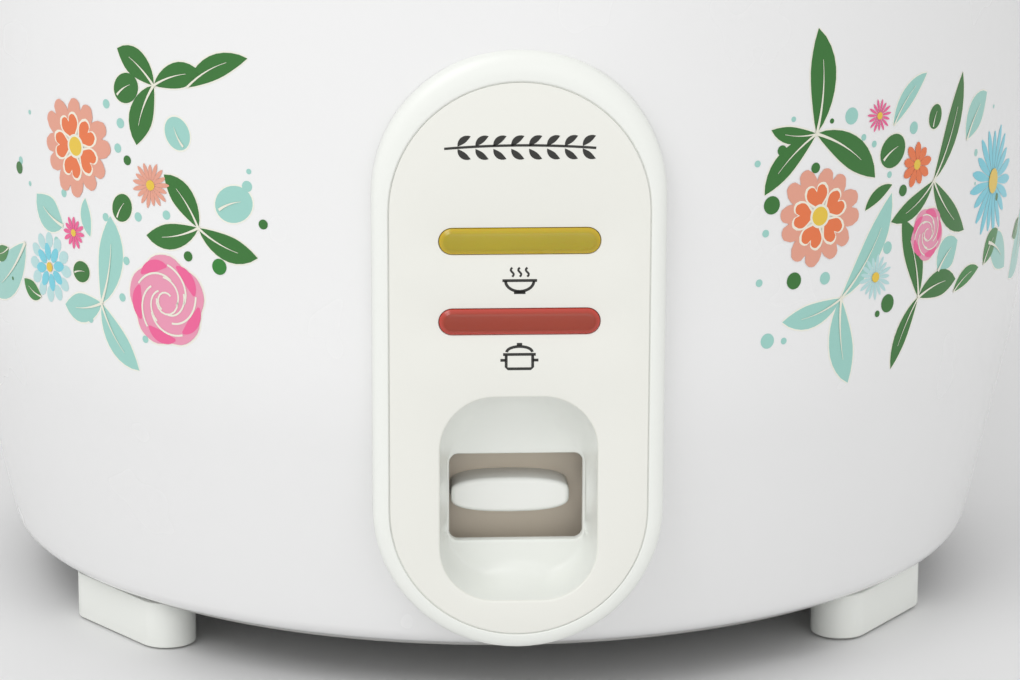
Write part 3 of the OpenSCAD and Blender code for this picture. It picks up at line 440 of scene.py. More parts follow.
def shrunk(outline, d):
    """An outline moved inwards by d."""
    out = []
    count = len(outline)
    for i, (x, z) in enumerate(outline):
        ax, az = outline[i - 1]
        bx, bz = outline[(i + 1) % count]
        tangent = Vector((bx - ax, bz - az)).normalized()
        out.append((x - tangent.y * d, z + tangent.x * d))
    return out


class ShellCurve:
    """Profile of the shell's outside."""

    def __init__(self, s):
        self.s = s
        self.taper_end = Vector((SHELL_R - s.taper_r * (1 - math.cos(s.taper_a)),
                                 s.taper_z - s.taper_r * math.sin(s.taper_a)))
        drop = self.taper_end.y + s.corner_r * math.sin(s.taper_a) - SHELL_LOW - s.corner_r
        self.corner_x = self.taper_end.x - drop * math.tan(s.taper_a) - s.corner_r * math.cos(s.taper_a)

    def radius(self, z):
        """Radius of the outside at height z, above the bottom corner."""
        s = self.s
        if z >= s.taper_z:
            return SHELL_R
        if z >= self.taper_end.y:
            return SHELL_R - s.taper_r + math.sqrt(s.taper_r ** 2 - (s.taper_z - z) ** 2)
        return self.taper_end.x - (self.taper_end.y - z) * math.tan(s.taper_a)

    def front(self, x, z):
        """y of the outside at x and z, on the front."""
        return -math.sqrt(self.radius(z) ** 2 - x * x)

    def outline(self):
        """Points from the lip under the shell to its top edge."""
        s = self.s
        corner_z = SHELL_LOW + s.corner_r
        lip_steps, corner_steps, row = 4, 8, 2.6
        points = [(self.corner_x - s.lip_w + s.lip_w * i / lip_steps, SHELL_LOW) for i in range(lip_steps)]
        for i in range(corner_steps + 1):
            a = math.radians(90) - (math.radians(90) - s.taper_a) * i / corner_steps
            points.append((self.corner_x + s.corner_r * math.cos(a), corner_z - s.corner_r * math.sin(a)))
        z = points[-1][1]
        rows = round((SHELL_TOP - z) / row)
        points += [(self.radius(z + (SHELL_TOP - z) * i / rows), z + (SHELL_TOP - z) * i / rows)
                   for i in range(1, rows + 1)]
        return points


# ---- Shader node groups ----

BUMP_DEPTH = 0.02


def new_group(name, inputs, outputs):
    """A new node group with its sockets, and its input and output nodes."""
    group = bpy.data.node_groups.new(name, "ShaderNodeTree")
    for label, kind, value in inputs:
        socket = group.interface.new_socket(name=label, in_out="INPUT", socket_type=kind)
        if value is not None:
            socket.default_value = value
    for label, kind in outputs:
        group.interface.new_socket(name=label, in_out="OUTPUT", socket_type=kind)
    return group, group.nodes.new("NodeGroupInput"), group.nodes.new("NodeGroupOutput")


def add(tree, kind, **values):
    """A new node with some of its settings."""
    node = tree.nodes.new(kind)
    for key, value in values.items():
        setattr(node, key, value)
    return node


def mix_colour(tree, factor, a, b):
    """A node that mixes two colours; each argument is a socket or a value."""
    node = add(tree, "ShaderNodeMix", data_type="RGBA")
    for socket, value in zip((node.inputs[0], node.inputs[6], node.inputs[7]), (factor, a, b)):
        feed(tree, socket, value)
    return node.outputs[2]


def feed(tree, socket, value):
    """Links a socket to another one, or sets its value."""
    if isinstance(value, bpy.types.NodeSocket):
        tree.links.new(value, socket)
    elif hasattr(value, "__len__") and len(value) == 3 and len(socket.default_value) == 4:
        socket.default_value = (*value, 1)
    else:
        socket.default_value = value


def wire(tree, *links):
    """Links pairs of sockets, each pair a source and a target."""
    for source, target in links:
        tree.links.new(source, target)


def maths(tree, operation, *values):
    """A node of arithmetic; each argument is a socket or a value."""
    node = add(tree, "ShaderNodeMath", operation=operation)
    for socket, value in zip(node.inputs, values):
        feed(tree, socket, value)
    return node.outputs[0]


def group_colour_drift():
    """Slow drift between two colours, as pigment and light wear give."""
    group, entry, out = new_group("colour_drift", [
        ("Colour", "NodeSocketColor", (1, 1, 1, 1)), ("Other", "NodeSocketColor", (0, 0, 0, 1)),
        ("Scale", "NodeSocketFloat", 20), ("Amount", "NodeSocketFloat", 0.1)], [("Colour", "NodeSocketColor")])
    place = add(group, "ShaderNodeTexCoord")
    noise = add(group, "ShaderNodeTexNoise")
    noise.inputs["Detail"].default_value = 4
    factor = maths(group, "MULTIPLY", noise.outputs["Fac"], entry.outputs["Amount"])
    mixed = mix_colour(group, factor, entry.outputs["Colour"], entry.outputs["Other"])
    wire(group, (place.outputs["Object"], noise.inputs["Vector"]), (entry.outputs["Scale"], noise.inputs["Scale"]),
         (mixed, out.inputs["Colour"]))
    return group


def relief(group, entry, out, spread_by, raised_by):
    """Ends a group with a roughness between its two limits, spread by one noise, and a bump raised by another."""
    spread = add(group, "ShaderNodeMapRange")
    bump = add(group, "ShaderNodeBump")
    bump.inputs["Distance"].default_value = BUMP_DEPTH * MM
    wire(group, (spread_by.outputs["Fac"], spread.inputs["Value"]),
         (entry.outputs["Rough Low"], spread.inputs["To Min"]), (entry.outputs["Rough High"], spread.inputs["To Max"]),
         (spread.outputs["Result"], out.inputs["Roughness"]), (entry.outputs["Height"], bump.inputs["Strength"]),
         (raised_by.outputs["Fac"], bump.inputs["Height"]), (bump.outputs["Normal"], out.inputs["Normal"]))


def group_moulded_skin():
    """Fine unevenness of moulded plastic, enamel or rubber."""
    group, entry, out = new_group("moulded_skin", [
        ("Scale", "NodeSocketFloat", 400), ("Rough Low", "NodeSocketFloat", 0.3),
        ("Rough High", "NodeSocketFloat", 0.4), ("Height", "NodeSocketFloat", 0.1)],
        [("Roughness", "NodeSocketFloat"), ("Normal", "NodeSocketVector")])
    place = add(group, "ShaderNodeTexCoord")
    fine = add(group, "ShaderNodeTexNoise")
    fine.inputs["Detail"].default_value = 3
    broad = add(group, "ShaderNodeTexNoise")
    broad.inputs["Scale"].default_value = 35
    wire(group, (place.outputs["Object"], fine.inputs["Vector"]), (place.outputs["Object"], broad.inputs["Vector"]),
         (entry.outputs["Scale"], fine.inputs["Scale"]))
    relief(group, entry, out, broad, fine)
    return group


def group_brushed():
    """Fine lines round the Z axis, as on spun or turned metal, or along a stretch of sheet."""
    group, entry, out = new_group("brushed_lines", [
        ("Round", "NodeSocketFloat", 1), ("Scale", "NodeSocketFloat", 900), ("Rough Low", "NodeSocketFloat", 0.2),
        ("Rough High", "NodeSocketFloat", 0.4), ("Height", "NodeSocketFloat", 0.2)],
        [("Roughness", "NodeSocketFloat"), ("Normal", "NodeSocketVector"), ("Lines", "NodeSocketFloat")])
    place = add(group, "ShaderNodeTexCoord")
    split = add(group, "ShaderNodeSeparateXYZ")
    xx = maths(group, "MULTIPLY", split.outputs["X"], split.outputs["X"])
    yy = maths(group, "MULTIPLY", split.outputs["Y"], split.outputs["Y"])
    radius = maths(group, "SQRT", maths(group, "ADD", xx, yy))
    turned = add(group, "ShaderNodeCombineXYZ")
    drawn = add(group, "ShaderNodeMapping")
    drawn.inputs["Scale"].default_value = (0.02, 1, 1)
    pick = add(group, "ShaderNodeMix", data_type="VECTOR")
    noise = add(group, "ShaderNodeTexNoise")
    noise.inputs["Detail"].default_value = 5
    wire(group, (place.outputs["Object"], split.inputs[0]), (place.outputs["Object"], drawn.inputs["Vector"]),
         (radius, turned.inputs["X"]), (split.outputs["Z"], turned.inputs["Z"]),
         (entry.outputs["Round"], pick.inputs[0]), (drawn.outputs["Vector"], pick.inputs[4]),
         (turned.outputs["Vector"], pick.inputs[5]), (pick.outputs[1], noise.inputs["Vector"]),
         (entry.outputs["Scale"], noise.inputs["Scale"]), (noise.outputs["Fac"], out.inputs["Lines"]))
    relief(group, entry, out, noise, noise)
    return group


GROUPS = {"colour_drift": group_colour_drift, "moulded_skin": group_moulded_skin, "brushed_lines": group_brushed}


def use_group(tree, name, **values):
    """Places a shared node group in a material with its own values."""
    group = bpy.data.node_groups.get(name) or GROUPS[name]()
    node = add(tree, "ShaderNodeGroup", node_tree=group)
    for key, value in values.items():
        feed(tree, node.inputs[key.replace("_", " ").title()], value)
    return node


# ---- Materials ----

def shader(name):
    """A new material, its tree and its Principled shader."""
    material = bpy.data.materials.new(name)
    material.use_nodes = True
    return material, material.node_tree, material.node_tree.nodes["Principled BSDF"]


def dressed(tree, surface, shade, skin):
    """Links a colour, and a skin's roughness and normal, to the shader."""
    wire(tree, (shade, surface.inputs["Base Color"]), (skin.outputs["Roughness"], surface.inputs["Roughness"]),
         (skin.outputs["Normal"], surface.inputs["Normal"]))


def drifting(tree, base, other, scale, amount):
    """A colour that drifts slowly towards another."""
    return use_group(tree, "colour_drift", colour=base, other=other, scale=scale, amount=amount).outputs["Colour"]


def skin_of(tree, grain, rough, height):
    """A moulded skin, between two roughnesses."""
    return use_group(tree, "moulded_skin", scale=grain, rough_low=rough[0], rough_high=rough[1], height=height)


def plastic(name, base, other=None, rough=(0.28, 0.36), grain=500, height=0.08, coat=0.0, drift=0.25):
    """Moulded plastic, rubber or enamel."""
    material, tree, surface = shader(name)
    other = other or tuple(c * 0.9 for c in base)
    dressed(tree, surface, drifting(tree, base, other, 22, drift), skin_of(tree, grain, rough, height))
    surface.inputs["IOR"].default_value = 1.49
    surface.inputs["Coat Weight"].default_value = coat
    surface.inputs["Coat Roughness"].default_value = 0.06
    return material


def metal(name, base, other, round_lines=1, scale=900, rough=(0.2, 0.38), height=0.25):
    """Bare metal with fine lines from spinning, drawing or turning."""
    material, tree, surface = shader(name)
    lines = use_group(tree, "brushed_lines", round=round_lines, scale=scale, rough_low=rough[0],
                      rough_high=rough[1], height=height)
    tint = drifting(tree, base, other, 60, 0.6)
    dressed(tree, surface, mix_colour(tree, maths(tree, "MULTIPLY", lines.outputs["Lines"], 0.35), tint, other), lines)
    surface.inputs["Metallic"].default_value = 1
    return material


def cast_metal(name, base, other, rough=(0.45, 0.6)):
    """Cast metal with a grainy skin."""
    material, tree, surface = shader(name)
    dressed(tree, surface, drifting(tree, base, other, 140, 0.9), skin_of(tree, 900, rough, 0.9))
    surface.inputs["Metallic"].default_value = 1
    return material


def clear_glass(name, tint, rough=0.02):
    """Clear tempered glass, a little green in its thickness."""
    material, tree, surface = shader(name)
    drift = drifting(tree, tint, (0.9, 0.97, 0.95), 8, 0.3)
    dressed(tree, surface, drift, skin_of(tree, 60, (rough, rough * 2), 0.02))
    surface.inputs["Transmission Weight"].default_value = 1
    surface.inputs["IOR"].default_value = 1.5
    return material


def lens_plastic(name, middle, edge):
    """Tinted lens with faint lines from the mould, and painted light in its bevelled edge: a brighter, more saturated
    tint that stands in for light gathered there.
    """
    material, tree, surface = shader(name)
    lit_edge_mask = add(tree, "ShaderNodeAttribute", attribute_name="bevel")
    tint = drifting(tree, middle, tuple(c * 0.82 for c in middle), 90, 0.8)
    dressed(tree, surface, mix_colour(tree, lit_edge_mask.outputs["Fac"], tint, edge), skin_of(tree, 260, (0.2, 0.3), 0.1))
    surface.inputs["Coat Weight"].default_value = 0.35
    surface.inputs["Coat Roughness"].default_value = 0.1
    surface.inputs["Subsurface Weight"].default_value = 0.15
    surface.inputs["Subsurface Scale"].default_value = 2 * MM
    return material


PRINT_COLOURS = {
    "cream": (240, 238, 226), "halo": (242, 236, 218), "vein": (236, 234, 218), "dark": (44, 112, 38),
    "green": (40, 126, 42), "mint": (156, 208, 198), "pink": (232, 150, 178), "deep_pink": (236, 96, 150),
    "salmon": (228, 160, 138), "orange": (232, 118, 66), "yellow": (232, 196, 62), "blue": (118, 206, 222),
    "pale_blue": (184, 220, 220),
}


def make_materials(colours):
    """Every material of the appliance, one for each finish, by slot name."""
    c = sizes(colours)
    grey = srgb(150, 150, 148)
    made = {}

    def finish(make, name, *values, **settings):
        made[name] = make(name, *values, **settings)

    finish(plastic, "enamel", c.enamel, rough=(0.22, 0.3), grain=160, height=0.1, coat=0.35, drift=0.12)
    finish(plastic, "bezel_plastic", c.bezel, rough=(0.26, 0.34), grain=700, height=0.06, drift=0.15)
    finish(plastic, "ivory_plastic", c.plate, rough=(0.36, 0.44), grain=900, height=0.12, drift=0.15)
    finish(plastic, "white_plastic", c.bezel, rough=(0.3, 0.4), grain=800, height=0.1, drift=0.2)
    finish(plastic, "knob_plastic", c.knob, rough=(0.28, 0.36), grain=700, height=0.06, drift=0.15)
    finish(plastic, "shield_plastic", c.shield, rough=(0.4, 0.5), grain=700, height=0.1)
    finish(plastic, "cream_plastic", srgb(226, 216, 190), rough=(0.4, 0.5), grain=700)
    finish(plastic, "black_plastic", srgb(34, 34, 36), srgb(52, 52, 54), rough=(0.34, 0.5), grain=800, height=0.3)
    finish(plastic, "tan_plastic", srgb(178, 140, 92), rough=(0.42, 0.52), grain=700, height=0.3)
    finish(plastic, "red_plastic", srgb(168, 44, 34), rough=(0.35, 0.45), grain=700)
    finish(plastic, "rubber", srgb(88, 86, 82), srgb(70, 69, 66), rough=(0.6, 0.75), grain=900, height=0.5)
    finish(plastic, "mica", srgb(168, 150, 112), srgb(120, 104, 76), rough=(0.25, 0.5), grain=300, height=0.4,
           drift=0.8)
    # Each lens gets a painted glow of light in its bevelled edge, a brighter tint mixed in by a mask
    finish(lens_plastic, "amber_lens", c.warm, c.warm_edge)
    finish(lens_plastic, "red_lens", c.cook, c.cook_edge)
    finish(clear_glass, "lamp_glass", (1, 0.93, 0.86))
    finish(clear_glass, "lid_glass", (0.94, 0.985, 0.965))
    finish(metal, "rim_steel", srgb(214, 212, 208), srgb(178, 176, 172), rough=(0.12, 0.24), height=0.15)
    finish(metal, "sheet_steel", srgb(186, 186, 184), srgb(150, 150, 148), rough=(0.28, 0.45))
    finish(metal, "screw_steel", srgb(196, 194, 188), grey, scale=1800, rough=(0.2, 0.36))
    finish(metal, "dark_steel", srgb(104, 98, 92), srgb(66, 60, 56), scale=1200, rough=(0.35, 0.55))
    finish(metal, "spring_steel", srgb(188, 186, 182), srgb(120, 118, 114), scale=1500, rough=(0.18, 0.3))
    finish(metal, "brass", srgb(204, 172, 104), srgb(168, 132, 70), scale=1500, rough=(0.2, 0.36))
    finish(cast_metal, "cast_aluminium", srgb(188, 188, 188), srgb(150, 150, 150))
    finish(metal, "pot_aluminium", srgb(206, 206, 206), srgb(182, 182, 184), scale=700, rough=(0.28, 0.42), height=0.3)
    finish(plastic, "pad_rubber", srgb(150, 148, 142), rough=(0.6, 0.75), grain=900, height=0.5)
    for name, value in PRINT_COLOURS.items():
        finish(plastic, "ink_" + name, srgb(*value), srgb(*(0.95 * v for v in value)), rough=(0.26, 0.34), grain=260,
               height=0.05, coat=0.2, drift=0.6)
    finish(plastic, "marks_ink", c.marks, rough=(0.4, 0.5), grain=900, height=0.05)
    finish(plastic, "level_ink", srgb(120, 120, 122), rough=(0.5, 0.6), grain=900, height=0.05)
    return made


MATERIALS = {}


def need(slot):
    """The material of a slot, made on first use."""
    if not MATERIALS:
        MATERIALS.update(make_materials(bpy.context.scene.cooker_colours))
    return MATERIALS[slot]


# ---- The stage ----

class COOKER_OT_stage(bpy.types.Operator):
    """Sets the camera, the pale floor and the soft studio lights"""
    bl_idname = "cooker.stage"
    bl_label = "Stage"
    bl_options = {"REGISTER", "UNDO"}

    def execute(self, context):
        s = sizes(context.scene.cooker_stage)
        scene = context.scene
        camera = linked("camera", bpy.data.cameras.new("camera"))
        scene.camera = camera
        turn = Matrix.Rotation(-s.heading, 4, "Z") @ Matrix.Rotation(QUARTER_TURN - s.pitch, 4, "X")
        spot = Vector((math.sin(s.azimuth) * s.distance, -math.cos(s.azimuth) * s.distance, s.height)) * MM
        camera.matrix_world = Matrix.Translation(spot) @ turn @ Matrix.Rotation(s.roll, 4, "Z")
        camera.data.lens = s.lens
        camera.data.sensor_width = 36
        camera.data.sensor_fit = "HORIZONTAL"
        camera.data.clip_start = 0.05
        camera.data.clip_end = 100

        reach, depth = 6000, 20
        floor = lathe("floor", [(0, 0), (reach, 0), (reach, -depth), (0, -depth)], segments=96)
        material, tree, surface = shader("floor")
        base = tuple(scene.cooker_colours.floor)
        tint = drifting(tree, base, tuple(0.93 * c for c in base), 3, 0.2)
        dressed(tree, surface, tint, skin_of(tree, 300, (0.5, 0.6), 0.1))
        floor.data.materials.append(material)

        world = bpy.data.worlds.new("studio")
        scene.world = world
        world.use_nodes = True
        sky = world.node_tree.nodes["Background"]
        sky.inputs["Color"].default_value = (1, 1, 1, 1)
        sky.inputs["Strength"].default_value = s.sky

        aim = Vector((0, 0, SHELL_TOP / 2))
        for name, power, spot, width in (("key", s.key, (-620, -900, 1150), 800),
                                         ("fill", s.fill, (250, -1500, 280), 900)):
            light = bpy.data.lights.new(name, "AREA")
            light.energy = power
            light.shape = "SQUARE"
            light.size = width * MM
            lamp = linked(name, light)
            facing = (aim - Vector(spot)).to_track_quat("-Z", "Y").to_matrix().to_4x4()
            lamp.matrix_world = Matrix.Translation(Vector(spot) * MM) @ facing
        scene.view_settings.view_transform = "Standard"
        scene.view_settings.look = "None"
        return {"FINISHED"}


# ---- The outside ----

class COOKER_OT_shell(bpy.types.Operator):
    """Builds the enamelled shell, with openings behind the bezel and the power inlet"""
    bl_idname = "cooker.shell"
    bl_label = "Shell"
    bl_options = {"REGISTER", "UNDO"}

    def execute(self, context):
        s = sizes(context.scene.cooker_shell)
        curve = ShellCurve(s)
        outline = curve.outline()
        n = s.segments
        verts, faces = [], []
        for r, z in outline:
            verts += [(r * math.sin(2 * math.pi * k / n), -r * math.cos(2 * math.pi * k / n), z) for k in range(n)]

        # How far the bezel and the inlet reach past the edges of their openings
        behind_bezel, beside, above = 6, 4, 3

        def open_at(r, k, z):
            """Whether a face of the wall lies in one of the two openings."""
            angle = 2 * math.pi * (k + 0.5) / n
            x, y = r * math.sin(angle), -r * math.cos(angle)
            if y < 0:
                nearest = min(max(z, BEZEL_LOW + BEZEL_HALF + beside), BEZEL_TOP - BEZEL_HALF)
                return math.hypot(x, z - nearest) < BEZEL_HALF - behind_bezel
            wide = abs(x) < high("power_inlet", 0) - beside
            return wide and low("power_inlet", 2) + above < z < high("power_inlet", 2) - above

        for i in range(len(outline) - 1):
            r = (outline[i][0] + outline[i + 1][0]) / 2
            z = (outline[i][1] + outline[i + 1][1]) / 2
            for k in range(n):
                if not open_at(r, k, z):
                    a, b = i * n + k, i * n + (k + 1) % n
                    faces.append((a, b, b + n, a + n))
        shell = piece("shell", verts, faces, 60)
        sheet = shell.modifiers.new("sheet", "SOLIDIFY")
        sheet.thickness = s.sheet * MM
        sheet.offset = -1
        applied(shell)
        tidy_normals(shell, 60)
        placed(shell, "enamel", "body_shell")
        return {"FINISHED"}


LENSES = {"warm_lens": "amber_lens", "cook_lens": "red_lens"}


def windows(p, play):
    """Outlines of the two lamp windows, larger than the lenses by a play."""
    return [bar(p.lens_w + play, p.lens_h + play, mid(n, 2)) for n in LENSES]


def recess(p, grow=0):
    """Outline of the finger recess, grown all round."""
    return rounded_box(p.recess_w + 2 * grow, p.recess_low - grow, p.recess_high + grow, p.recess_r + grow)


class COOKER_OT_bezel(bpy.types.Operator):
    """Builds the soft-edged bezel, its finger recess and the floor behind the face plate"""
    bl_idname = "cooker.bezel"
    bl_label = "Bezel"
    bl_options = {"REGISTER", "UNDO"}

    def execute(self, context):
        p = sizes(context.scene.cooker_panel)
        curve = ShellCurve(sizes(context.scene.cooker_shell))
        inner = stadium(high("face_plate", 0) + p.seam, low("face_plate", 2) - p.seam, high("face_plate", 2) + p.seam)
        outer = stadium(BEZEL_HALF, BEZEL_LOW, BEZEL_TOP)

        def between(t):
            return [((1 - t) * a[0] + t * b[0], (1 - t) * a[1] + t * b[1]) for a, b in zip(inner, outer)]

        # A step closes the seam a little way in
        step = shrunk(inner, p.seam - 0.03)
        rings = [standing(inner, POCKET_Y), standing(step, PANEL_Y + 0.6), standing(step, PANEL_Y + 0.45),
                 standing(inner, PANEL_Y + 0.45), standing(inner, PANEL_Y + 0.25),
                 standing(between(0.02), PANEL_Y + 0.07)]
        # The face falls away towards the outside, more above the face plate than beside it
        fall_top, fall_side, fall_w, squareness = 3.4, 2.4, 5.6, 2.2
        first, steps = 0.045, 16
        for i in range(steps + 1):
            t = first + (1 - first) * i / steps
            ring = []
            for k, (x, z) in enumerate(between(t)):
                rise = max(0.0, outer[k][1] - (BEZEL_TOP - BEZEL_HALF)) / BEZEL_HALF
                fall = fall_side + (fall_top - fall_side) * rise
                flat = max(0.0, 1 - fall_w / math.dist(inner[k], outer[k]))
                u = max(0.0, (t - flat) / (1 - flat))
                ring.append((x, PANEL_Y + fall * (1 - math.sqrt(max(0.0, 1 - u ** squareness))), z))
            rings.append(ring)
        # The outer wall meets the shell, and the back lies just off it
        gap, wall, back_inset = 0.06, 3.5, 8
        back = stadium(BEZEL_HALF - back_inset, BEZEL_LOW + back_inset, BEZEL_TOP - back_inset)
        rings.append([(x, max(curve.front(x, z) - gap, PANEL_Y + wall), z) for x, z in outer])
        rings.append([(x, curve.front(x, z) - gap, z) for x, z in back])
        rings.append(standing(back, max(POCKET_Y + 1, -SHELL_R + 1)))
        frame_part = loft("bezel_frame", rings, smooth_below=40)

        # The tub of the finger recess, which eases in over a length above, below and beside the slot
        ease_above, ease_below, ease_beside = 17, 6.5, 1.8
        slot = rounded_box(p.slot_w, p.slot_low, p.slot_high, p.slot_r)
        goal = shrunk(slot, -0.5)
        mouth, rim, wide = recess(p), recess(p, 0.5), recess(p, 1.7)
        start, deep = p.recess_rim - 0.05, p.recess_depth
        tub = [standing(rim, POCKET_Y - 0.05), standing(rim, PANEL_Y + start + 0.1)]
        steps, crowding = 24, 1.6
        for i in range(steps):
            t = (i / steps) ** crowding
            ring = []
            for (mx, mz), (gx, gz) in zip(mouth, goal):
                reach = math.hypot(mx - gx, mz - gz)
                above, below, beside = (c / reach for c in (max(0.0, mz - gz), max(0.0, gz - mz), abs(mx - gx)))
                ease = ease_above * above ** 2 + ease_below * below ** 2 + ease_beside * beside ** 2
                u = min(1.0, t * reach / ease)
                depth = start + (deep - start) * math.sqrt(1 - (1 - u) ** 2)
                ring.append((mx + (gx - mx) * t, PANEL_Y + depth, mz + (gz - mz) * t))
            tub.append(ring)
        behind = PANEL_Y + (deep + 1.8)
        tub += [standing(goal, PANEL_Y + deep), standing(shrunk(slot, -0.2), PANEL_Y + deep + 0.12),
                standing(slot, PANEL_Y + deep + 0.5), standing(slot, behind), standing(wide, behind),
                standing(wide, POCKET_Y + 0.1), standing(rim, POCKET_Y + 0.1)]
        tub_part = loft("bezel_tub", tub, smooth_below=40)

        # The floor of the pocket behind the face plate
        floor = flat_plate("bezel_floor", [shrunk(inner, -1.5), wide, *windows(p, 0.2)], POCKET_Y, POCKET_Y + 0.9,
                           [0.05] * 4)
        bezel = joined("bezel", [frame_part, tub_part, floor], 40)
        placed(bezel, "bezel_plastic", "panel_bezel")
        return {"FINISHED"}


class COOKER_OT_face_plate(bpy.types.Operator):
    """Builds the face plate with its windows and the recess's opening"""
    bl_idname = "cooker.face_plate"
    bl_label = "Face plate"
    bl_options = {"REGISTER", "UNDO"}

    def execute(self, context):
        p = sizes(context.scene.cooker_panel)
        outline = stadium(high("face_plate", 0), low("face_plate", 2), high("face_plate", 2))
        plate = flat_plate("face_plate_soft", [outline, recess(p), *windows(p, 0.3)], PANEL_Y, POCKET_Y - 0.1,
                           [0.15, p.recess_rim, 0.15, 0.15])
        placed(plate, "ivory_plastic", "face_plate")
        return {"FINISHED"}


class COOKER_OT_lenses(bpy.types.Operator):
    """Builds the two lamp lenses with bevelled edges"""
    bl_idname = "cooker.lenses"
    bl_label = "Lenses"
    bl_options = {"REGISTER", "UNDO"}

    def execute(self, context):
        p = sizes(context.scene.cooker_panel)
        for node, slot in LENSES.items():
            z, front, back = mid(node, 2), low(node, 1), high(node, 1)
            edge, flange = bar(p.lens_w, p.lens_h, z), bar(p.lens_w + 2, p.lens_h + 2, z)
            # Steps in from the lens's edge, each with its depth
            section = [(0.0, back - 1.1), (0.0, PANEL_Y + 0.05), (0.06, PANEL_Y - 0.12), (0.92, front + 0.17),
                       (1.05, front + 0.1), (1.6, front + 0.05), (2.3, front + 0.01), (2.75, front)]
            skin = [standing(shrunk(edge, d), y) for d, y in section]
            rings = [standing(shrunk(edge, 1), back - 1), standing(flange, back - 1), standing(flange, back - 0.2),
                     standing(shrunk(edge, 0.6), back - 0.2)]
            parts = [loft(node + "_soft", skin, closed=False, smooth_below=30),
                     loft(node + "_flange", rings, smooth_below=30)]
            lens = joined(node + "_clear", parts, 30)
            # The mask marks the bevelled edge, where the lens's material paints a brighter, more saturated tint as
            # painted light gathered in the edge
            bevel, fade = 1.0, 0.3
            lit_edge_mask = lens.data.attributes.new("bevel", "FLOAT", "POINT")
            centre = p.lens_w / 2 - p.lens_h / 2
            for i, v in enumerate(lens.data.vertices):
                inward = p.lens_h / 2 - math.hypot(max(0.0, abs(v.co.x / MM) - centre), v.co.z / MM - z)
                lit_edge_mask.data[i].value = min(1.0, max(0.0, (bevel - inward) / fade))
            placed(lens, slot, node)
        return {"FINISHED"}


class COOKER_OT_knob(bpy.types.Operator):
    """Builds the white lozenge knob on the end of the lever"""
    bl_idname = "cooker.knob"
    bl_label = "Lever knob"
    bl_options = {"REGISTER", "UNDO"}

    def execute(self, context):
        w, h = (high("lever_knob", axis) - low("lever_knob", axis) for axis in (0, 2))
        x0, z0 = mid("lever_knob", 0), mid("lever_knob", 2)
        back = high("lever_knob", 1)
        # Powers that square the outline's sides and ends, and how far its height falls towards the ends
        square_x, square_z, taper = 0.4, 0.5, 0.24
        edge, crown, steps = 1.3, 0.1, 8

        def ring(inset, y, corners=96):
            points = []
            for i in range(corners):
                a = 2 * math.pi * i / corners
                c, s = math.cos(a), math.sin(a)
                x = (w / 2 - inset) * math.copysign(abs(c) ** square_x, c)
                z = (h / 2 - inset) * math.copysign(abs(s) ** square_z, s) * (1 - taper * (x / (w / 2)) ** 2)
                points.append((x0 + x, y, z0 + z))
            return points

        rings = [ring(0, back), ring(0, KNOB_Y + edge)]
        for i in range(1, steps + 1):
            a = math.pi / 2 * i / steps
            rings.append(ring(edge * (1 - math.cos(a)), KNOB_Y + crown + (edge - crown) * (1 - math.sin(a))))
        for k, inset in enumerate((2.0, 2.9, 3.8)):
            rings.append(ring(inset, KNOB_Y + crown - 0.033 * (k + 1)))
        # The shield behind the knob closes round the arm
        sheet = rounded_box(high("dust_shield", 0) * 2, low("dust_shield", 2), high("dust_shield", 2), 1)
        hole = [(x0 + x, z0 + z) for x, z in rounded_box(3.3, -3.7, 3.7, 0.3)]
        shield = flat_plate("shield", [sheet, hole], SHIELD_Y, high("dust_shield", 1), [0.2, 0.1])
        placed(shield, NODE_SLOT["dust_shield"], "dust_shield", finish="shield_plastic")
        knob = loft("knob", rings, closed=False, smooth_below=40)
        placed(knob, "white_plastic", "lever_knob", finish="knob_plastic")
        return {"FINISHED"}


class COOKER_OT_feet(bpy.types.Operator):
    """Builds the four moulded feet with soft lower edges"""
    bl_idname = "cooker.feet"
    bl_label = "Feet"
    bl_options = {"REGISTER", "UNDO"}

    def execute(self, context):
        for node in ("foot_front_left", "foot_front_right", "foot_rear_left", "foot_rear_right"):
            foot = softened(node, 0.9, node + "_soft", 3)
            placed(foot, "white_plastic", node)
        return {"FINISHED"}


# ---- Printed marks and flowers ----

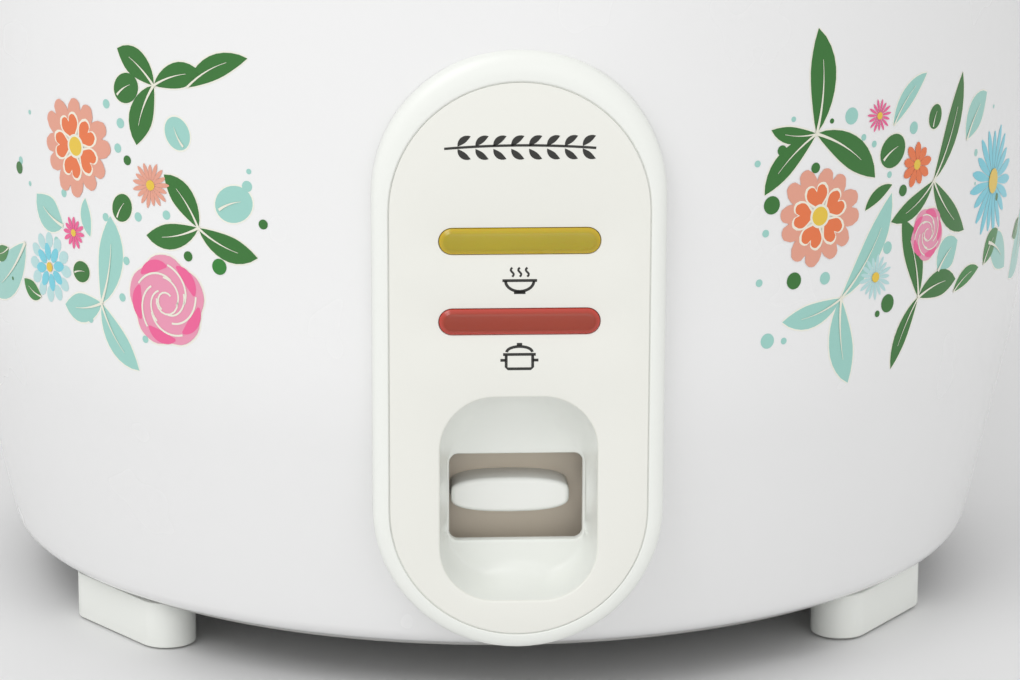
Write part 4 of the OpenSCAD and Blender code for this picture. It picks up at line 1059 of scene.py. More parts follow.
class Ink:
    """Flat shapes in one colour, each a thin closed slab laid over a surface."""

    def __init__(self, name, place, film, lift):
        self.name, self.place, self.film, self.lift = name, place, film, lift
        self.verts, self.faces = [], []

    def sheet(self, rows, wrap=False):
        """A slab over a grid of points. Rows wrap round when they are rings, and then close at the middle."""
        start = len(self.verts)
        n = len(rows[0])
        for level in (self.lift, self.lift + self.film):
            self.verts += [self.place(u, v, level) for row in rows for u, v in row]
        half = n * len(rows)
        spans = n if wrap else n - 1

        def quad(i, j, level):
            k = (j + 1) % n
            base = start + level * half
            return (base + i * n + j, base + i * n + k, base + (i + 1) * n + k, base + (i + 1) * n + j)

        for i in range(len(rows) - 1):
            for j in range(spans):
                self.faces.append(quad(i, j, 1))
                self.faces.append(tuple(reversed(quad(i, j, 0))))
        loop = [(0, j) for j in range(n)]
        if not wrap:
            last = len(rows) - 1
            loop += [(i, n - 1) for i in range(1, len(rows))] + [(last, j) for j in range(n - 2, -1, -1)]
            loop += [(i, 0) for i in range(last - 1, 0, -1)]
        for k, (i, j) in enumerate(loop):
            a, b = loop[k], loop[(k + 1) % len(loop)]
            lower = [start + q[0] * n + q[1] for q in (a, b)]
            upper = [start + half + q[0] * n + q[1] for q in (b, a)]
            self.faces.append((*lower, *upper))
        if wrap:
            last = len(rows) - 1
            for level in (0, 1):
                self.faces.append(tuple(start + level * half + last * n + j for j in range(n)))

    def strip(self, spine, widths, cell=2.4):
        """A band along a line of points, with its half-width at each."""
        rows = []
        for i, (u, v) in enumerate(spine):
            au, av = spine[max(i - 1, 0)]
            bu, bv = spine[min(i + 1, len(spine) - 1)]
            d = math.hypot(bu - au, bv - av) or 1
            nu, nv = -(bv - av) / d, (bu - au) / d
            parts = max(2, math.ceil(2 * max(widths) / cell))
            w = widths[i]
            across = [w * (2 * k / parts - 1) for k in range(parts + 1)]
            rows.append([(u + nu * q, v + nv * q) for q in across])
        self.sheet(rows)

    def blob(self, u, v, radius, lobes=0, notch=0.0, turn=0.0, squash=1.0, cell=2.4):
        """A disc or a star-like shape: radius varies with the angle in a number of lobes."""
        steps = 48 if lobes else 28
        rings = max(1, math.ceil(radius / cell))
        rows = []
        for i in range(rings):
            share = 1 - i / rings * 0.98
            row = []
            for k in range(steps):
                a = 2 * math.pi * k / steps
                r = radius * share * (1 - notch * (0.5 - 0.5 * math.cos(lobes * a)) ** 2 if lobes else 1)
                x, y = r * math.cos(a), r * math.sin(a) * squash
                row.append((u + x * math.cos(turn) - y * math.sin(turn), v + x * math.sin(turn) + y * math.cos(turn)))
            rows.append(row)
        self.sheet(rows, wrap=True)

    def built(self, slot, body="root"):
        """The ink as an object, on a body and in a slot's material."""
        if not self.faces:
            return None
        mesh = bpy.data.meshes.new(self.name)
        mesh.from_pydata([tuple(c * MM for c in p) for p in self.verts], [], self.faces)
        mesh.validate()
        bm = bmesh.new()
        bm.from_mesh(mesh)
        bmesh.ops.recalc_face_normals(bm, faces=bm.faces)
        bm.to_mesh(mesh)
        bm.free()
        smooth(mesh, 60)
        return placed(linked(self.name, mesh), slot, body=body)


def bowed(p, q, bow, steps=10):
    """A line from p to q that bows sideways by a share of its length."""
    (au, av), (bu, bv) = p, q
    du, dv = bu - au, bv - av
    return [(au + du * t - dv * bow * 4 * t * (1 - t), av + dv * t + du * bow * 4 * t * (1 - t))
            for t in (i / steps for i in range(steps + 1))]


def spoke(u, v, angle, near, far, steps=6):
    """A line outwards from a bloom's middle."""
    c, s = math.cos(angle), math.sin(angle)
    reach = [near + (far - near) * i / steps for i in range(steps + 1)]
    return [(u + c * d, v + s * d) for d in reach]


def leaf_widths(width, steps=10, fullest=0.5):
    """Half-widths along a leaf: pointed at both ends, broadest in the middle."""
    out = []
    for i in range(steps + 1):
        t = i / steps
        t = t / fullest / 2 if t < fullest else 0.5 + (t - fullest) / (1 - fullest) / 2
        out.append(max(0.02, width / 2 * math.sin(math.pi * t) ** 0.8))
    return out


EDGE_W = 0.4


class Flowers:
    """The flower print: leaves, sprigs and blooms placed one by one, in colours of flat ink."""

    # Each ink and its layer in the print, counted up from the enamel
    INKS = {"cream": 0, "dark": 4, "green": 5, "mint": 1, "pink": 6, "deep_pink": 8, "salmon": 7, "halo": 9,
            "orange": 10, "yellow": 12, "blue": 3, "pale_blue": 2, "vein": 11}

    def __init__(self, place, film, cell):
        self.cell = cell
        self.inks = {n: Ink("print_" + n, place, film, 0.008 + layer * film * 0.75) for n, layer in self.INKS.items()}

    def band(self, ink, line, widths):
        self.inks[ink].strip(line, widths, self.cell)

    def disc(self, ink, u, v, r, **shape):
        self.inks[ink].blob(u, v, r, cell=self.cell, **shape)

    def leaf(self, base, tip, width, ink="dark", bow=0.08, vein=True, fullest=0.5):
        """A leaf from its base to its tip, with a pale edge and a vein."""
        line = bowed(base, tip, bow)
        widths = leaf_widths(width, fullest=fullest)
        self.band("cream", line, [w + EDGE_W for w in widths])
        self.band(ink, line, widths)
        if vein:
            self.band("vein", line[:8], [max(0.05, width * 0.05 * (1 - i / 7.5)) for i in range(8)])

    def round_leaf(self, u, v, d, turn=0.0, ink="dark", squash=0.85):
        """A leaf that is almost round, with a pale edge and a vein."""
        self.disc("cream", u, v, d / 2 + EDGE_W, squash=squash, turn=turn)
        self.disc(ink, u, v, d / 2, squash=squash, turn=turn)
        reach = d * 0.42
        du, dv = math.cos(turn), math.sin(turn)
        line = bowed((u - du * reach, v - dv * reach), (u + du * reach * 0.5, v + dv * reach * 0.5), 0.06, 7)
        self.band("vein", line, [max(0.04, d * 0.035 * (1 - i / 7.5)) for i in range(8)])

    def sprig(self, joint, tips, ink="dark"):
        """Leaves that grow from one joint; each tip is u, v and the leaf's width."""
        for k, tip in enumerate(tips):
            self.leaf(joint, tip[:2], tip[2], ink, bow=0.07 if k % 2 else -0.07, fullest=0.56)

    def dot(self, u, v, d, ink="dark"):
        self.disc(ink, u, v, d / 2)

    def petal(self, u, v, a, start, reach, width, ink, edge=0.0):
        """A heart-shaped petal, with a pale outline under it where it has an edge."""
        c, s = math.cos(a), math.sin(a)
        cells, steps = 12, 8
        for tint, grow in (("halo", edge), (ink, 0)) if edge else ((ink, 0),):
            rows = []
            for i in range(steps + 1):
                t = i / steps
                row = []
                for k in range(cells + 1):
                    q = 2 * k / cells - 1
                    lobe = math.sqrt(max(0.0, 1 - (2 * abs(q) - 1) ** 2)) - 1
                    tip = reach + lobe * width * 0.5 + grow
                    along = start - grow + (tip - start + grow) * t
                    w = width * (0.22 + 0.78 * math.sin(math.pi / 2 * min(1.0, t * 1.25)) ** 1.2) + grow
                    row.append((u + c * along - s * q * w, v + s * along + c * q * w))
                rows.append(row)
            self.inks[tint].sheet(rows)

    def bloom(self, u, v, r, turn=0.3):
        """A double bloom: six broad outer petals round five inner ones with pale outlines."""
        for k in range(6):
            self.petal(u, v, turn + math.pi / 3 * k, 0.3 * r, r * (1.0, 0.93)[k % 2], 0.37 * r, "salmon")
        for k in range(5):
            self.petal(u, v, turn + 0.4 + 2 * math.pi / 5 * k, 0.2 * r, 0.62 * r, 0.25 * r, "orange", 0.5)
        self.disc("vein", u, v, r * 0.24)
        self.disc("yellow", u, v, r * 0.19)

    def daisy(self, u, v, r, petals=15, ink="salmon", turn=0.2, slim=0.1):
        """Slim petals with gaps between them, round a yellow middle."""
        for k in range(petals):
            reach = r * (1.0, 0.88, 0.96)[k % 3]
            line = spoke(u, v, turn + 2 * math.pi * k / petals, 0.2 * r, reach)
            self.band(ink, line, [r * slim * x for x in (0.3, 0.55, 0.8, 0.97, 1.0, 0.8, 0.25)])
        self.disc("yellow", u, v, r * 0.22)

    def aster(self, u, v, r):
        """Two rings of small rounded petals."""
        for ink, count, near, far, turn in (("pale_blue", 12, 0.55, 1.0, 0.0), ("blue", 8, 0.2, 0.68, 0.2)):
            wide = r * (far + near) / 2 * math.pi / count * 0.86
            for k in range(count):
                line = spoke(u, v, turn + 2 * math.pi * k / count, r * near, r * far)
                self.band(ink, line, [wide * x for x in (0.35, 0.72, 0.94, 1.0, 0.94, 0.72, 0.3)])
        self.disc("yellow", u, v, r * 0.14)

    def rose(self, u, v, r, turn=0.0):
        """A round bloom of overlapping petals, parted by pale curved lines."""
        self.disc("cream", u, v, r + 0.5, lobes=5, notch=0.1, turn=turn)
        self.disc("pink", u, v, r, lobes=5, notch=0.1, turn=turn)
        for k in range(5):
            a = turn + 2 * math.pi * k / 5 + 0.35

            def arc(reach, span, lean, steps=12):
                out = []
                for i in range(steps + 1):
                    t = i / steps
                    b = a + span * (t - 0.5)
                    q = reach * r * (1 + lean * (t - 0.5))
                    out.append((u + math.cos(b) * q, v + math.sin(b) * q))
                return out

            outer = arc(0.8, 0.95, 0.1)
            self.band("deep_pink", outer, [r * 0.13 * math.sin(math.pi * min(max(i / 12, 0.02), 0.98)) ** 0.6
                                           for i in range(13)])
            self.band("vein", arc(0.64, 1.5, 0.5), [r * 0.022] * 13)
            if k % 2 == 0:
                self.band("vein", arc(0.4, 1.9, 0.6), [r * 0.02] * 13)
        for b, q in ((0.4, 0.18), (2.6, 0.25)):
            line = [(u + math.cos(turn + b + i * 0.42) * r * q * (1 + i * 0.03),
                     v + math.sin(turn + b + i * 0.42) * r * q * (1 + i * 0.03)) for i in range(9)]
            self.band("vein", line, [r * 0.02] * 9)

    def left(self):
        """The print to the left of the panel, in u round from the front and v up."""
        self.sprig((-88.5, 144.5), [(-99.5, 152, 6.5), (-75, 148.5, 6), (-94, 130, 7)])
        self.leaf((-79, 145), (-63, 153), 5.5)
        self.round_leaf(-97, 143, 8, 0.6)
        self.round_leaf(-82, 134, 8, 2.1, "mint")
        self.bloom(-114.5, 127, 12)
        self.daisy(-90, 121, 5.5, 17, "salmon", 0.1)
        self.sprig((-76.5, 112.5), [(-86, 124, 6), (-91.5, 109, 6), (-61, 107, 6)])
        self.round_leaf(-67, 119, 10, 0.4, "mint")
        for u, v, d in ((-59.5, 115, 2.3), (-79.5, 105.5, 2.4), (-97, 126, 2.3), (-139, 118, 3)):
            self.dot(u, v, d, "dark")
        for u, v, d in ((-63, 127, 1.3), (-103.5, 138.5, 2.2), (-99, 134.5, 2.4), (-100, 128.5, 2.2),
                        (-104.5, 111.5, 2), (-94, 113, 2.2), (-85.5, 114.5, 2.2), (-63.5, 123.5, 2.6),
                        (-98, 102, 2), (-99.5, 93, 2), (-123, 103, 1.8), (-119.5, 115, 2), (-92.5, 84, 1.8),
                        (-110.5, 86, 1.8)):
            self.dot(u, v, d, "mint")
        self.dot(-71, 104, 3.8, "green")
        self.round_leaf(-99, 114.5, 7, 1.0)
        self.sprig((-106.5, 90.5), [(-103, 112, 8), (-120, 88, 7), (-95, 76, 6.5)], "mint")
        self.leaf((-120, 107), (-131, 113), 8.5, "mint")
        self.leaf((-110, 106), (-111.5, 115), 3.5, "mint", vein=False)
        self.daisy(-116, 106, 4, 12, "deep_pink", 0.5, 0.13)
        self.aster(-126, 96, 8.5)
        self.rose(-86, 94, 11, 0.4)
        self.round_leaf(-113.5, 97, 6, 0.2)
        self.leaf((-130, 88), (-138, 91), 4.5, "green")
        self.leaf((-137, 100), (-158, 84), 10, "mint")
        self.leaf((-146, 97), (-155, 94), 4, "green")

    def right(self):
        """The print to the right of the panel."""
        self.sprig((72.5, 134), [(72.5, 158.5, 7.4), (60, 136, 4), (58.5, 121, 5.6), (91, 121.5, 7.4)])
        for u, v, d in ((63, 131, 2.5), (72.5, 126, 2.5), (77, 136.5, 1.2), (60.5, 118.5, 4.3), (67, 100, 4),
                        (96.5, 90.5, 4.4), (101, 117, 2.8), (82, 130, 1.8), (105.5, 98.5, 2), (93, 88.5, 1.6),
                        (119, 125, 2)):
            self.dot(u, v, d, "dark")
        for u, v, d in ((66, 138, 1.3), (83, 137, 4), (104.5, 131.5, 3), (76, 99.5, 3), (56.5, 128.5, 1.6),
                        (59, 112, 1.8), (87, 131.5, 1.6), (90.5, 129.5, 1.6), (96, 121.5, 1.6), (60, 86.5, 3.6),
                        (64.5, 86, 1.6), (57.5, 100.5, 1.8), (119.5, 112, 1.8), (96, 104, 3), (133.5, 121, 1.8)):
            self.dot(u, v, d, "mint")
        self.daisy(92, 136, 4, 15, "deep_pink", 0.5, 0.08)
        self.leaf((97, 133), (109, 144), 4.5, "mint")
        self.round_leaf(113, 133, 6, 1.2)
        self.round_leaf(97, 127, 9, 0.5)
        self.sprig((113, 117.5), [(125, 142, 6), (97, 110, 5), (128, 103, 6)])
        self.daisy(106, 122.5, 5.6, 9, "orange", 0.1, 0.2)
        self.leaf((128, 125), (139, 135), 8, "mint")
        self.daisy(145, 112, 14, 19, "blue", 0.2, 0.085)
        self.bloom(74, 114.5, 11.8, 0.1)
        self.sprig((81, 94), [(97, 117, 6.4), (64, 90.5, 5.6), (84.5, 73, 7.2)], "mint")
        self.daisy(92, 97.5, 5.5, 17, "pale_blue", 0.3, 0.09)
        self.sprig((108, 90), [(101, 110, 6.6), (124.5, 91.5, 6.4), (99, 74, 4.4)])
        self.rose(111, 105, 6.5, 0.9)
        self.leaf((88, 114), (97, 119), 3, vein=False)
        self.leaf((116, 95), (125, 101), 8, "mint")
        self.leaf((123.5, 88.5), (137, 92), 4, "green")
        self.leaf((143, 97), (157, 88), 9, "mint")
        self.leaf((140, 92), (150, 99), 6, "green")


def on_shell(curve):
    """Places a point u round from the front centre and v up on the shell's outside."""
    def place(u, v, level):
        r = curve.radius(v) + level
        a = u / SHELL_R
        return (r * math.sin(a), -r * math.cos(a), v)
    return place


def shifted(place, sign, offset):
    """The same placing, moved round the shell and mirrored where sign is -1."""
    return lambda u, v, level: place(sign * u + offset, v, level)


class COOKER_OT_flowers(bpy.types.Operator):
    """Prints the flowers on the shell"""
    bl_idname = "cooker.flowers"
    bl_label = "Flower print"
    bl_options = {"REGISTER", "UNDO"}

    def execute(self, context):
        s = sizes(context.scene.cooker_print)
        place = on_shell(ShellCurve(sizes(context.scene.cooker_shell)))
        inks = {}

        def draw(side, sign, offset):
            flowers = Flowers(shifted(place, sign, offset), s.film, s.cell)
            getattr(flowers, side)()
            for name, ink in flowers.inks.items():
                inks.setdefault(name, []).append(ink)

        draw("left", 1, 0)
        draw("right", 1, 0)
        if s.wrap:
            round_all = 2 * math.pi * SHELL_R
            draw("left", -1, -round_all / 2)
            draw("right", 1, -0.371 * round_all)
            draw("right", -1, round_all / 2)
            draw("left", 1, 0.372 * round_all)
        scatter = Flowers(place, s.film, s.cell)
        dice = random.Random(s.seed)
        for k in range(s.dots):
            side = -1 if k % 2 else 1
            u = side * dice.uniform(132, 160)
            v = dice.uniform(86, 140)
            scatter.dot(u, v, dice.uniform(0.8, 2.0), "mint" if k % 3 else "dark")
        for name, ink in scatter.inks.items():
            inks.setdefault(name, []).append(ink)
        for name, layers in inks.items():
            whole = Ink("print_" + name, place, s.film, layers[0].lift)
            for layer in layers:
                start = len(whole.verts)
                whole.verts += layer.verts
                whole.faces += [tuple(start + i for i in face) for face in layer.faces]
            whole.built("ink_" + name)
        return {"FINISHED"}


class COOKER_OT_marks(bpy.types.Operator):
    """Prints the generic warm, cook and grain marks on the face plate"""
    bl_idname = "cooker.marks"
    bl_label = "Panel marks"
    bl_options = {"REGISTER", "UNDO"}

    def execute(self, context):
        ink = Ink("panel_marks", lambda u, v, level: (u, PANEL_Y - level, v), 0.03, 0.01)

        def line(points, w=0.32):
            ink.strip(points, [w] * len(points))

        # Grain ornament: a stem with pairs of grains
        grain_z = 135.9
        line(bowed((-17, grain_z - 0.6), (17, grain_z - 0.6), 0.02, 20), 0.28)
        for k in range(8):
            u = -14 + 4 * k
            for side in (1, -1):
                grain = bowed((u, grain_z - 0.4 + side * 0.3), (u + 2.9, grain_z - 0.4 + side * 2.6), 0.1 * side, 8)
                ink.strip(grain, leaf_widths(1.5, 8))
        # Warm: a bowl under steam
        z = mid("warm_lens", 2) - 9
        bowl = [(3.2 * math.cos(math.pi + math.pi * i / 14), z - 0.2 + 2.4 * math.sin(math.pi + math.pi * i / 14))
                for i in range(15)]
        line(bowl)
        line([(-3.9, z - 0.1), (3.9, z - 0.1)])
        line([(-1.3, z - 2.9), (1.3, z - 2.9)])
        for u in (-1.7, 0, 1.7):
            line([(u + 0.35 * math.sin(i * 0.9), z + 0.8 + 0.3 * i) for i in range(8)], 0.24)
        # Cook: a pot with a lid
        z = mid("cook_lens", 2) - 8.4
        line([(-3, z + 0.6), (-3, z - 2.2), (-2.6, z - 2.6), (2.6, z - 2.6), (3, z - 2.2), (3, z + 0.6)])
        line([(-3.7, z + 0.75), (3.7, z + 0.75)])
        line([(2.9 * math.cos(math.pi * i / 12), z + 1.3 + 1.3 * math.sin(math.pi * i / 12)) for i in range(13)])
        line([(-0.6, z + 3.1), (0.6, z + 3.1)])
        for side in (1, -1):
            line([(side * 3.1, z - 0.6), (side * 4.3, z - 0.6)])
        ink.built("marks_ink")
        return {"FINISHED"}


# ---- Rim, handles, pot and lid ----

class COOKER_OT_rim(bpy.types.Operator):
    """Builds the rolled steel rim around the pot and the drawn liner under it"""
    bl_idname = "cooker.rim"
    bl_label = "Rim and liner"
    bl_options = {"REGISTER", "UNDO"}

    def execute(self, context):
        out, top, down = high("body_rim", 0), high("body_rim", 2), low("body_rim", 2)
        width, t, gap = 14.5, 1.2, 0.1
        inside, lap = SHELL_R - width, SHELL_R + gap
        outline = rounded([(lap, down, 0.1), (out, down, 0.5), (out, top, 2.4), (inside, top, 1.6),
                           (inside, down, 0.4), (inside + t, down, 0.4), (inside + t, top - t, 0.5),
                           (lap, top - t, 0.5)])
        placed(lathe("rim", outline, 256), "rim_steel", "body_rim")
        liner = softened("inner_liner", 0.3, "liner", 1, 40)
        placed(liner, "sheet_steel", "inner_liner")
        return {"FINISHED"}


class COOKER_OT_handles(bpy.types.Operator):
    """Builds the two moulded side handles"""
    bl_idname = "cooker.handles"
    bl_label = "Side handles"
    bl_options = {"REGISTER", "UNDO"}

    def execute(self, context):
        for node, side in (("handle_right", 1), ("handle_left", -1)):
            z0, z1 = low(node, 2), high(node, 2)
            reach = abs(high(node, 0) if side > 0 else low(node, 0))
            span = math.asin(high(node, 1) / (reach - 1))
            grip, corner, corner_steps, grip_steps = 9, 9, 8, 20
            middle = reach - grip / 2 - 0.02
            end = span - 2.5 * math.pi / 180 - 0.012

            def at(r, angle):
                return (r * math.cos(angle), r * math.sin(angle), 0)

            # Out from the shell, round the corner, along the grip, and the same again mirrored
            path = [at(r, -end) for r in (SHELL_R + 0.4, SHELL_R + 4, SHELL_R + 8, middle - corner - 3)]
            turn = corner / middle
            for i in range(1, corner_steps + 1):
                a = math.pi / 2 * i / corner_steps
                path.append(at(middle - corner + corner * math.sin(a), -end + turn * (1 - math.cos(a))))
            way_in = list(path)
            path += [at(middle, (-end + turn) * (1 - i / grip_steps)) for i in range(1, 2 * grip_steps)]
            path += [(x, -y, 0) for x, y, _ in reversed(way_in)]
            section = rounded([(-grip / 2, z0, 3.4), (grip / 2, z0, 3.4), (grip / 2, z1, 3.4), (-grip / 2, z1, 3.4)], 8)
            loop = sweep(node + "_grip", path, section, (0, 0, 1), 40)
            face, back, base_steps = SHELL_R + 3, SHELL_R + 0.12, 40
            plate_section = rounded([(back, z0, 0.3), (face, z0, 1.6), (face, z1, 1.6), (back, z1, 0.3)], 6)
            rings = []
            for i in range(base_steps + 1):
                angle = -span + 2 * span * i / base_steps
                rings.append([(r * math.cos(angle), r * math.sin(angle), z) for r, z in plate_section])
            base = loft(node + "_base", rings, closed=False, smooth_below=40)
            handle = joined(node + "_soft", [loop, base], 40)
            if side < 0:
                handle.data.transform(Matrix.Rotation(math.pi, 4, "Z"))
            placed(handle, "white_plastic", node)
        return {"FINISHED"}


class COOKER_OT_pot(bpy.types.Operator):
    """Builds the lift-out pot with its rolled lip and level marks"""
    bl_idname = "cooker.pot"
    bl_label = "Pot"
    bl_options = {"REGISTER", "UNDO"}

    def execute(self, context):
        out, top, base = high("inner_pot", 0), high("inner_pot", 2), low("inner_pot", 2)
        lip_w, t, bend = 14, 1.6, 20
        wall, inner = out - lip_w, out - lip_w - t
        under, rows, floor_rows = top - t, 12, 8

        def bent(r, steps=14):
            arcs = [math.pi / 2 * i / steps for i in range(steps + 1)]
            return [(wall - bend + r * math.sin(a), base + bend - r * math.cos(a)) for a in arcs]

        floor = [(wall - bend) * i / floor_rows for i in range(floor_rows)]
        rise = [(wall, base + bend + (under - 2 - base - bend) * i / rows) for i in range(1, rows + 1)]
        lip = rounded([(wall, under - 2, 0), (wall, under, 1.0), (out, under, 0.6), (out, top, 0.7), (inner, top, 2.2),
                       (inner, under - 4, 0)], 6)
        fall = [(inner, under - 4 + (base + bend - under + 4) * i / rows) for i in range(1, rows)]
        outline = [(r, base) for r in floor] + bent(bend) + rise + lip[1:] + fall
        outline += bent(bend - t)[::-1] + [(r, base + t) for r in reversed(floor)]
        pot = lathe("pot", outline, 224, 40)
        placed(pot, "pot_aluminium", "inner_pot")

        def inner_wall(u, v, level):
            r, a = inner - level, u / inner
            return (r * math.sin(a), r * math.cos(a), v)

        ink = Ink("pot_levels", inner_wall, 0.03, 0.012)
        marks, first, pitch = 9, base + 24, 9.5
        for k in range(marks):
            reach = 12 if k % 2 == 0 else 7
            ink.strip([(-reach / 2 + reach * i / 6, first + pitch * k) for i in range(7)], [0.35] * 7)
        for k in (0, marks - 1):
            ink.blob(-11, first + pitch * k, 1.1)
        ink.built("level_ink", NODE_BODY["inner_pot"])
        return {"FINISHED"}


class COOKER_OT_lid(bpy.types.Operator):
    """Builds the domed glass lid with its steel band, vent and knob"""
    bl_idname = "cooker.lid"
    bl_label = "Lid"
    bl_options = {"REGISTER", "UNDO"}

    def execute(self, context):
        crown, foot = high("lid_glass", 2), low("lid_glass", 2)
        t, bore, knob_hole = 4, 3.5, 3.6
        glass_r = high("lid_rim", 0) - 1
        rise = crown - foot - 0.1 - t
        radius = (glass_r ** 2 + rise ** 2) / (2 * rise)
        centre = crown - radius
        edge = glass_r - 0.15

        def dome(r, sink=0.0):
            """Height of the glass at radius r, or of a surface sunk into it."""
            return centre + math.sqrt((radius - sink) ** 2 - r * r)

        spread = [knob_hole + (edge - 0.8 - knob_hole) * i / 40 for i in range(41)]
        outline = [(r, dome(r)) for r in spread]
        outline += [(edge - 0.2, dome(edge) - 0.5), (edge, dome(edge) - 1.1), (edge, max(dome(edge, t) + 0.8, foot)),
                    (edge - 0.5, dome(edge, t) + 0.25)]
        outline += [(r, dome(r, t)) for r in reversed(spread)]
        glass = lathe("glass", outline, 224, 40)
        drill = lathe("drill", [(0, -30), (bore, -30), (bore, 30), (0, 30)], 48)
        vent_y = mid("vent_grommet", 1)
        drill.data.transform(Matrix.Translation((0, vent_y * MM, dome(abs(vent_y)) * MM)))
        cut = glass.modifiers.new("vent", "BOOLEAN")
        cut.object = drill
        cut.solver = "EXACT"
        applied(glass)
        bpy.data.objects.remove(drill)
        smooth(glass.data, 35)
        placed(glass, "lid_glass", "lid_glass")

        base, out, band_top = low("lid_rim", 2), high("lid_rim", 0), high("lid_rim", 2)
        band_r, lip_r, foot_r = glass_r - 0.02, glass_r - 2.5, glass_r - 7
        band = rounded([(foot_r, base, 0.4), (out, base, 0.9), (out, band_top - 0.75, 0.9),
                        (lip_r, band_top - 0.02, 0.35), (lip_r, dome(lip_r) + 0.1, 0.1),
                        (band_r, dome(glass_r) + 0.08, 0.1), (band_r, base + 1, 0.5), (foot_r, base + 1, 0.4)], 5)
        placed(lathe("lid_band", band, 256, 40), "rim_steel", "lid_rim")

        z0, z1 = low("vent_grommet", 2), high("vent_grommet", 2)
        vent = lathe("vent", rounded([(2, z0, 0.2), (3.35, z0, 0.3), (3.35, z1 - 1, 0.1), (5.5, z1 - 1, 0.3),
                                      (5.5, z1, 0.6), (2, z1, 0.5)], 5), 64, 40)
        vent.data.transform(Matrix.Translation((0, vent_y * MM, 0)))
        placed(vent, NODE_SLOT["vent_grommet"], "vent_grommet")

        r, z0, z1 = high("lid_knob", 0), low("lid_knob", 2), high("lid_knob", 2)
        h = z1 - z0
        bore, bore_top = 2.6, z0 + 15
        profile = [(bore, bore_top, 0.2), (bore, z0, 0.2), (0.72 * r, z0, 0.6), (0.735 * r, z0 + 0.09 * h, 1.2),
                   (0.5 * r, z0 + 0.3 * h, 5), (0.52 * r, z0 + 0.46 * h, 4), (0.96 * r, z0 + 0.62 * h, 4),
                   (r, z0 + 0.7 * h, 1.4), (0.97 * r, z0 + 0.83 * h, 2.4), (0.6 * r, z0 + 0.965 * h, 6)]
        turned = rounded(profile, 8) + [(0.3 * r, z0 + 0.992 * h), (0, z1 - 0.02)]
        knob = lathe("lid_knob_turned", turned + [(0, bore_top)], 128, 40)
        placed(knob, "white_plastic", "lid_knob")
        return {"FINISHED"}


# ---- Fittings and what is inside ----

def helix(name, r, wire, z0, z1, turns, centre=(0, 0)):
    """A round-wire coil with its first and last turn closed down."""
    steps, sides = 36, 12
    path = []
    total = int(turns * steps)
    for i in range(total + 1):
        share = i / total
        share = share * share * (3 - 2 * share)
        a = 2 * math.pi * i / steps
        z = z0 + wire + (z1 - z0 - 2 * wire) * share
        path.append((centre[0] + r * math.cos(a), centre[1] + r * math.sin(a), z))
    section = [(wire * math.cos(2 * math.pi * k / sides), wire * math.sin(2 * math.pi * k / sides))
               for k in range(sides)]
    return sweep(name, path, section, (0, 0, 1), 40)


class COOKER_OT_spring(bpy.types.Operator):
    """Builds the sensor spring as a smooth coil under the cap"""
    bl_idname = "cooker.spring"
    bl_label = "Sensor spring"
    bl_options = {"REGISTER", "UNDO"}

    def execute(self, context):
        z0, z1 = low("sensor_spring", 2), high("sensor_spring", 2)
        wire, turns = 0.5, 4
        coil = helix("sensor_coil", high("sensor_spring", 0) - wire, wire, z0, z1, turns)
        placed(coil, "spring_steel", "sensor_spring")
        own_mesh(coil)
        return {"FINISHED"}


SOFT_EDGES = {
    "base_cover": 0.3, "heating_plate": 0.6, "sensor_cap": 0.5, "power_inlet": 0.8, "inlet_pins": 0.3,
    "terminal_block": 0.5, "switch_body": 0.5, "lever_arm": 0.35, "lever_bracket": 0.3, "sensor_bracket": 0.35,
    "lamp_holder": 0.3, "foot_pads": 0.3, "plate_posts": 0.4, "sensor_housing": 0.3,
    "magnet_rod": 0.3, "knob_washer": 0.2, "fuse_clip": 0.2, "lever_pin": 0.3, "heating_element": 0.3,
}


class COOKER_OT_fittings(bpy.types.Operator):
    """Builds the inlet, the covers, the brackets and the working parts with softened edges"""
    bl_idname = "cooker.fittings"
    bl_label = "Fittings"
    bl_options = {"REGISTER", "UNDO"}

    def execute(self, context):
        for node, width in SOFT_EDGES.items():
            finish = "pad_rubber" if node == "foot_pads" else None
            placed(softened(node, width), NODE_SLOT[node], node, finish=finish)
        return {"FINISHED"}


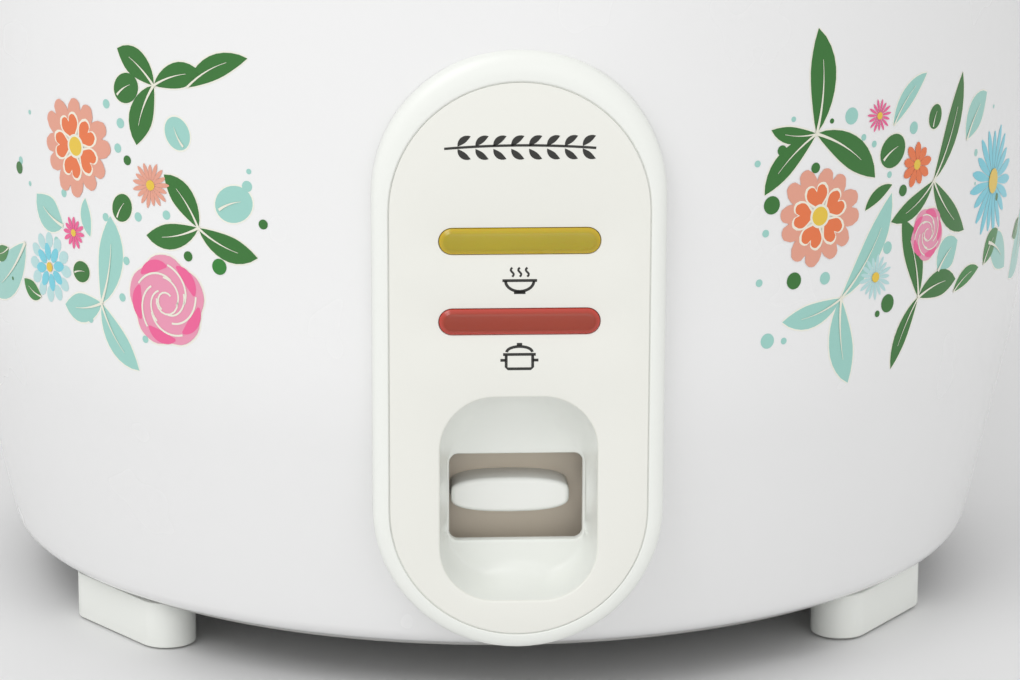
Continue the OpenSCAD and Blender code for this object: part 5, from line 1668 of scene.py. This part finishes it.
class COOKER_OT_finish_rest(bpy.types.Operator):
    """Gives the screws, rivets and other plain pieces their materials"""
    bl_idname = "cooker.finish_rest"
    bl_label = "Screws and plain pieces"
    bl_options = {"REGISTER", "UNDO"}

    def execute(self, context):
        for node, obj in NODES.items():
            obj.data.materials.clear()
            obj.data.materials.append(need(NODE_SLOT[node]))
        return {"FINISHED"}


STEPS = (COOKER_OT_stage, COOKER_OT_shell, COOKER_OT_bezel, COOKER_OT_face_plate, COOKER_OT_lenses,
         COOKER_OT_marks, COOKER_OT_knob, COOKER_OT_flowers, COOKER_OT_feet, COOKER_OT_rim, COOKER_OT_handles,
         COOKER_OT_pot, COOKER_OT_lid, COOKER_OT_spring, COOKER_OT_fittings, COOKER_OT_finish_rest)


class COOKER_PT_panel(bpy.types.Panel):
    """Sizes and colours of the cooker, and the steps that build it"""
    bl_label = "Rice Cooker"
    bl_idname = "COOKER_PT_panel"
    bl_space_type = "VIEW_3D"
    bl_region_type = "UI"
    bl_category = "Cooker"

    def draw(self, context):
        layout = self.layout
        for name, group in SETTINGS.items():
            box = layout.box()
            box.label(text=group.__doc__)
            for prop in group.__annotations__:
                box.prop(getattr(context.scene, name), prop)
        for step in STEPS:
            layout.operator(step.bl_idname)


SETTINGS = {
    "cooker_shell": CookerShellSizes,
    "cooker_panel": CookerPanelSizes,
    "cooker_print": CookerPrintSizes,
    "cooker_colours": CookerColours,
    "cooker_stage": CookerStageSizes,
}
CLASSES = (*SETTINGS.values(), *STEPS, COOKER_PT_panel)


def register():
    """Registers the classes and the scene's settings."""
    for cls in CLASSES:
        bpy.utils.register_class(cls)
    for name, group in SETTINGS.items():
        setattr(bpy.types.Scene, name, PointerProperty(type=group))


def unregister():
    """Takes them off again."""
    for name in SETTINGS:
        delattr(bpy.types.Scene, name)
    for cls in reversed(CLASSES):
        bpy.utils.unregister_class(cls)


def main():
    """Builds the cooker step by step."""
    register()
    for step in STEPS:
        family, action = step.bl_idname.split(".")
        getattr(getattr(bpy.ops, family), action)()


if __name__ == "__main__":
    main()
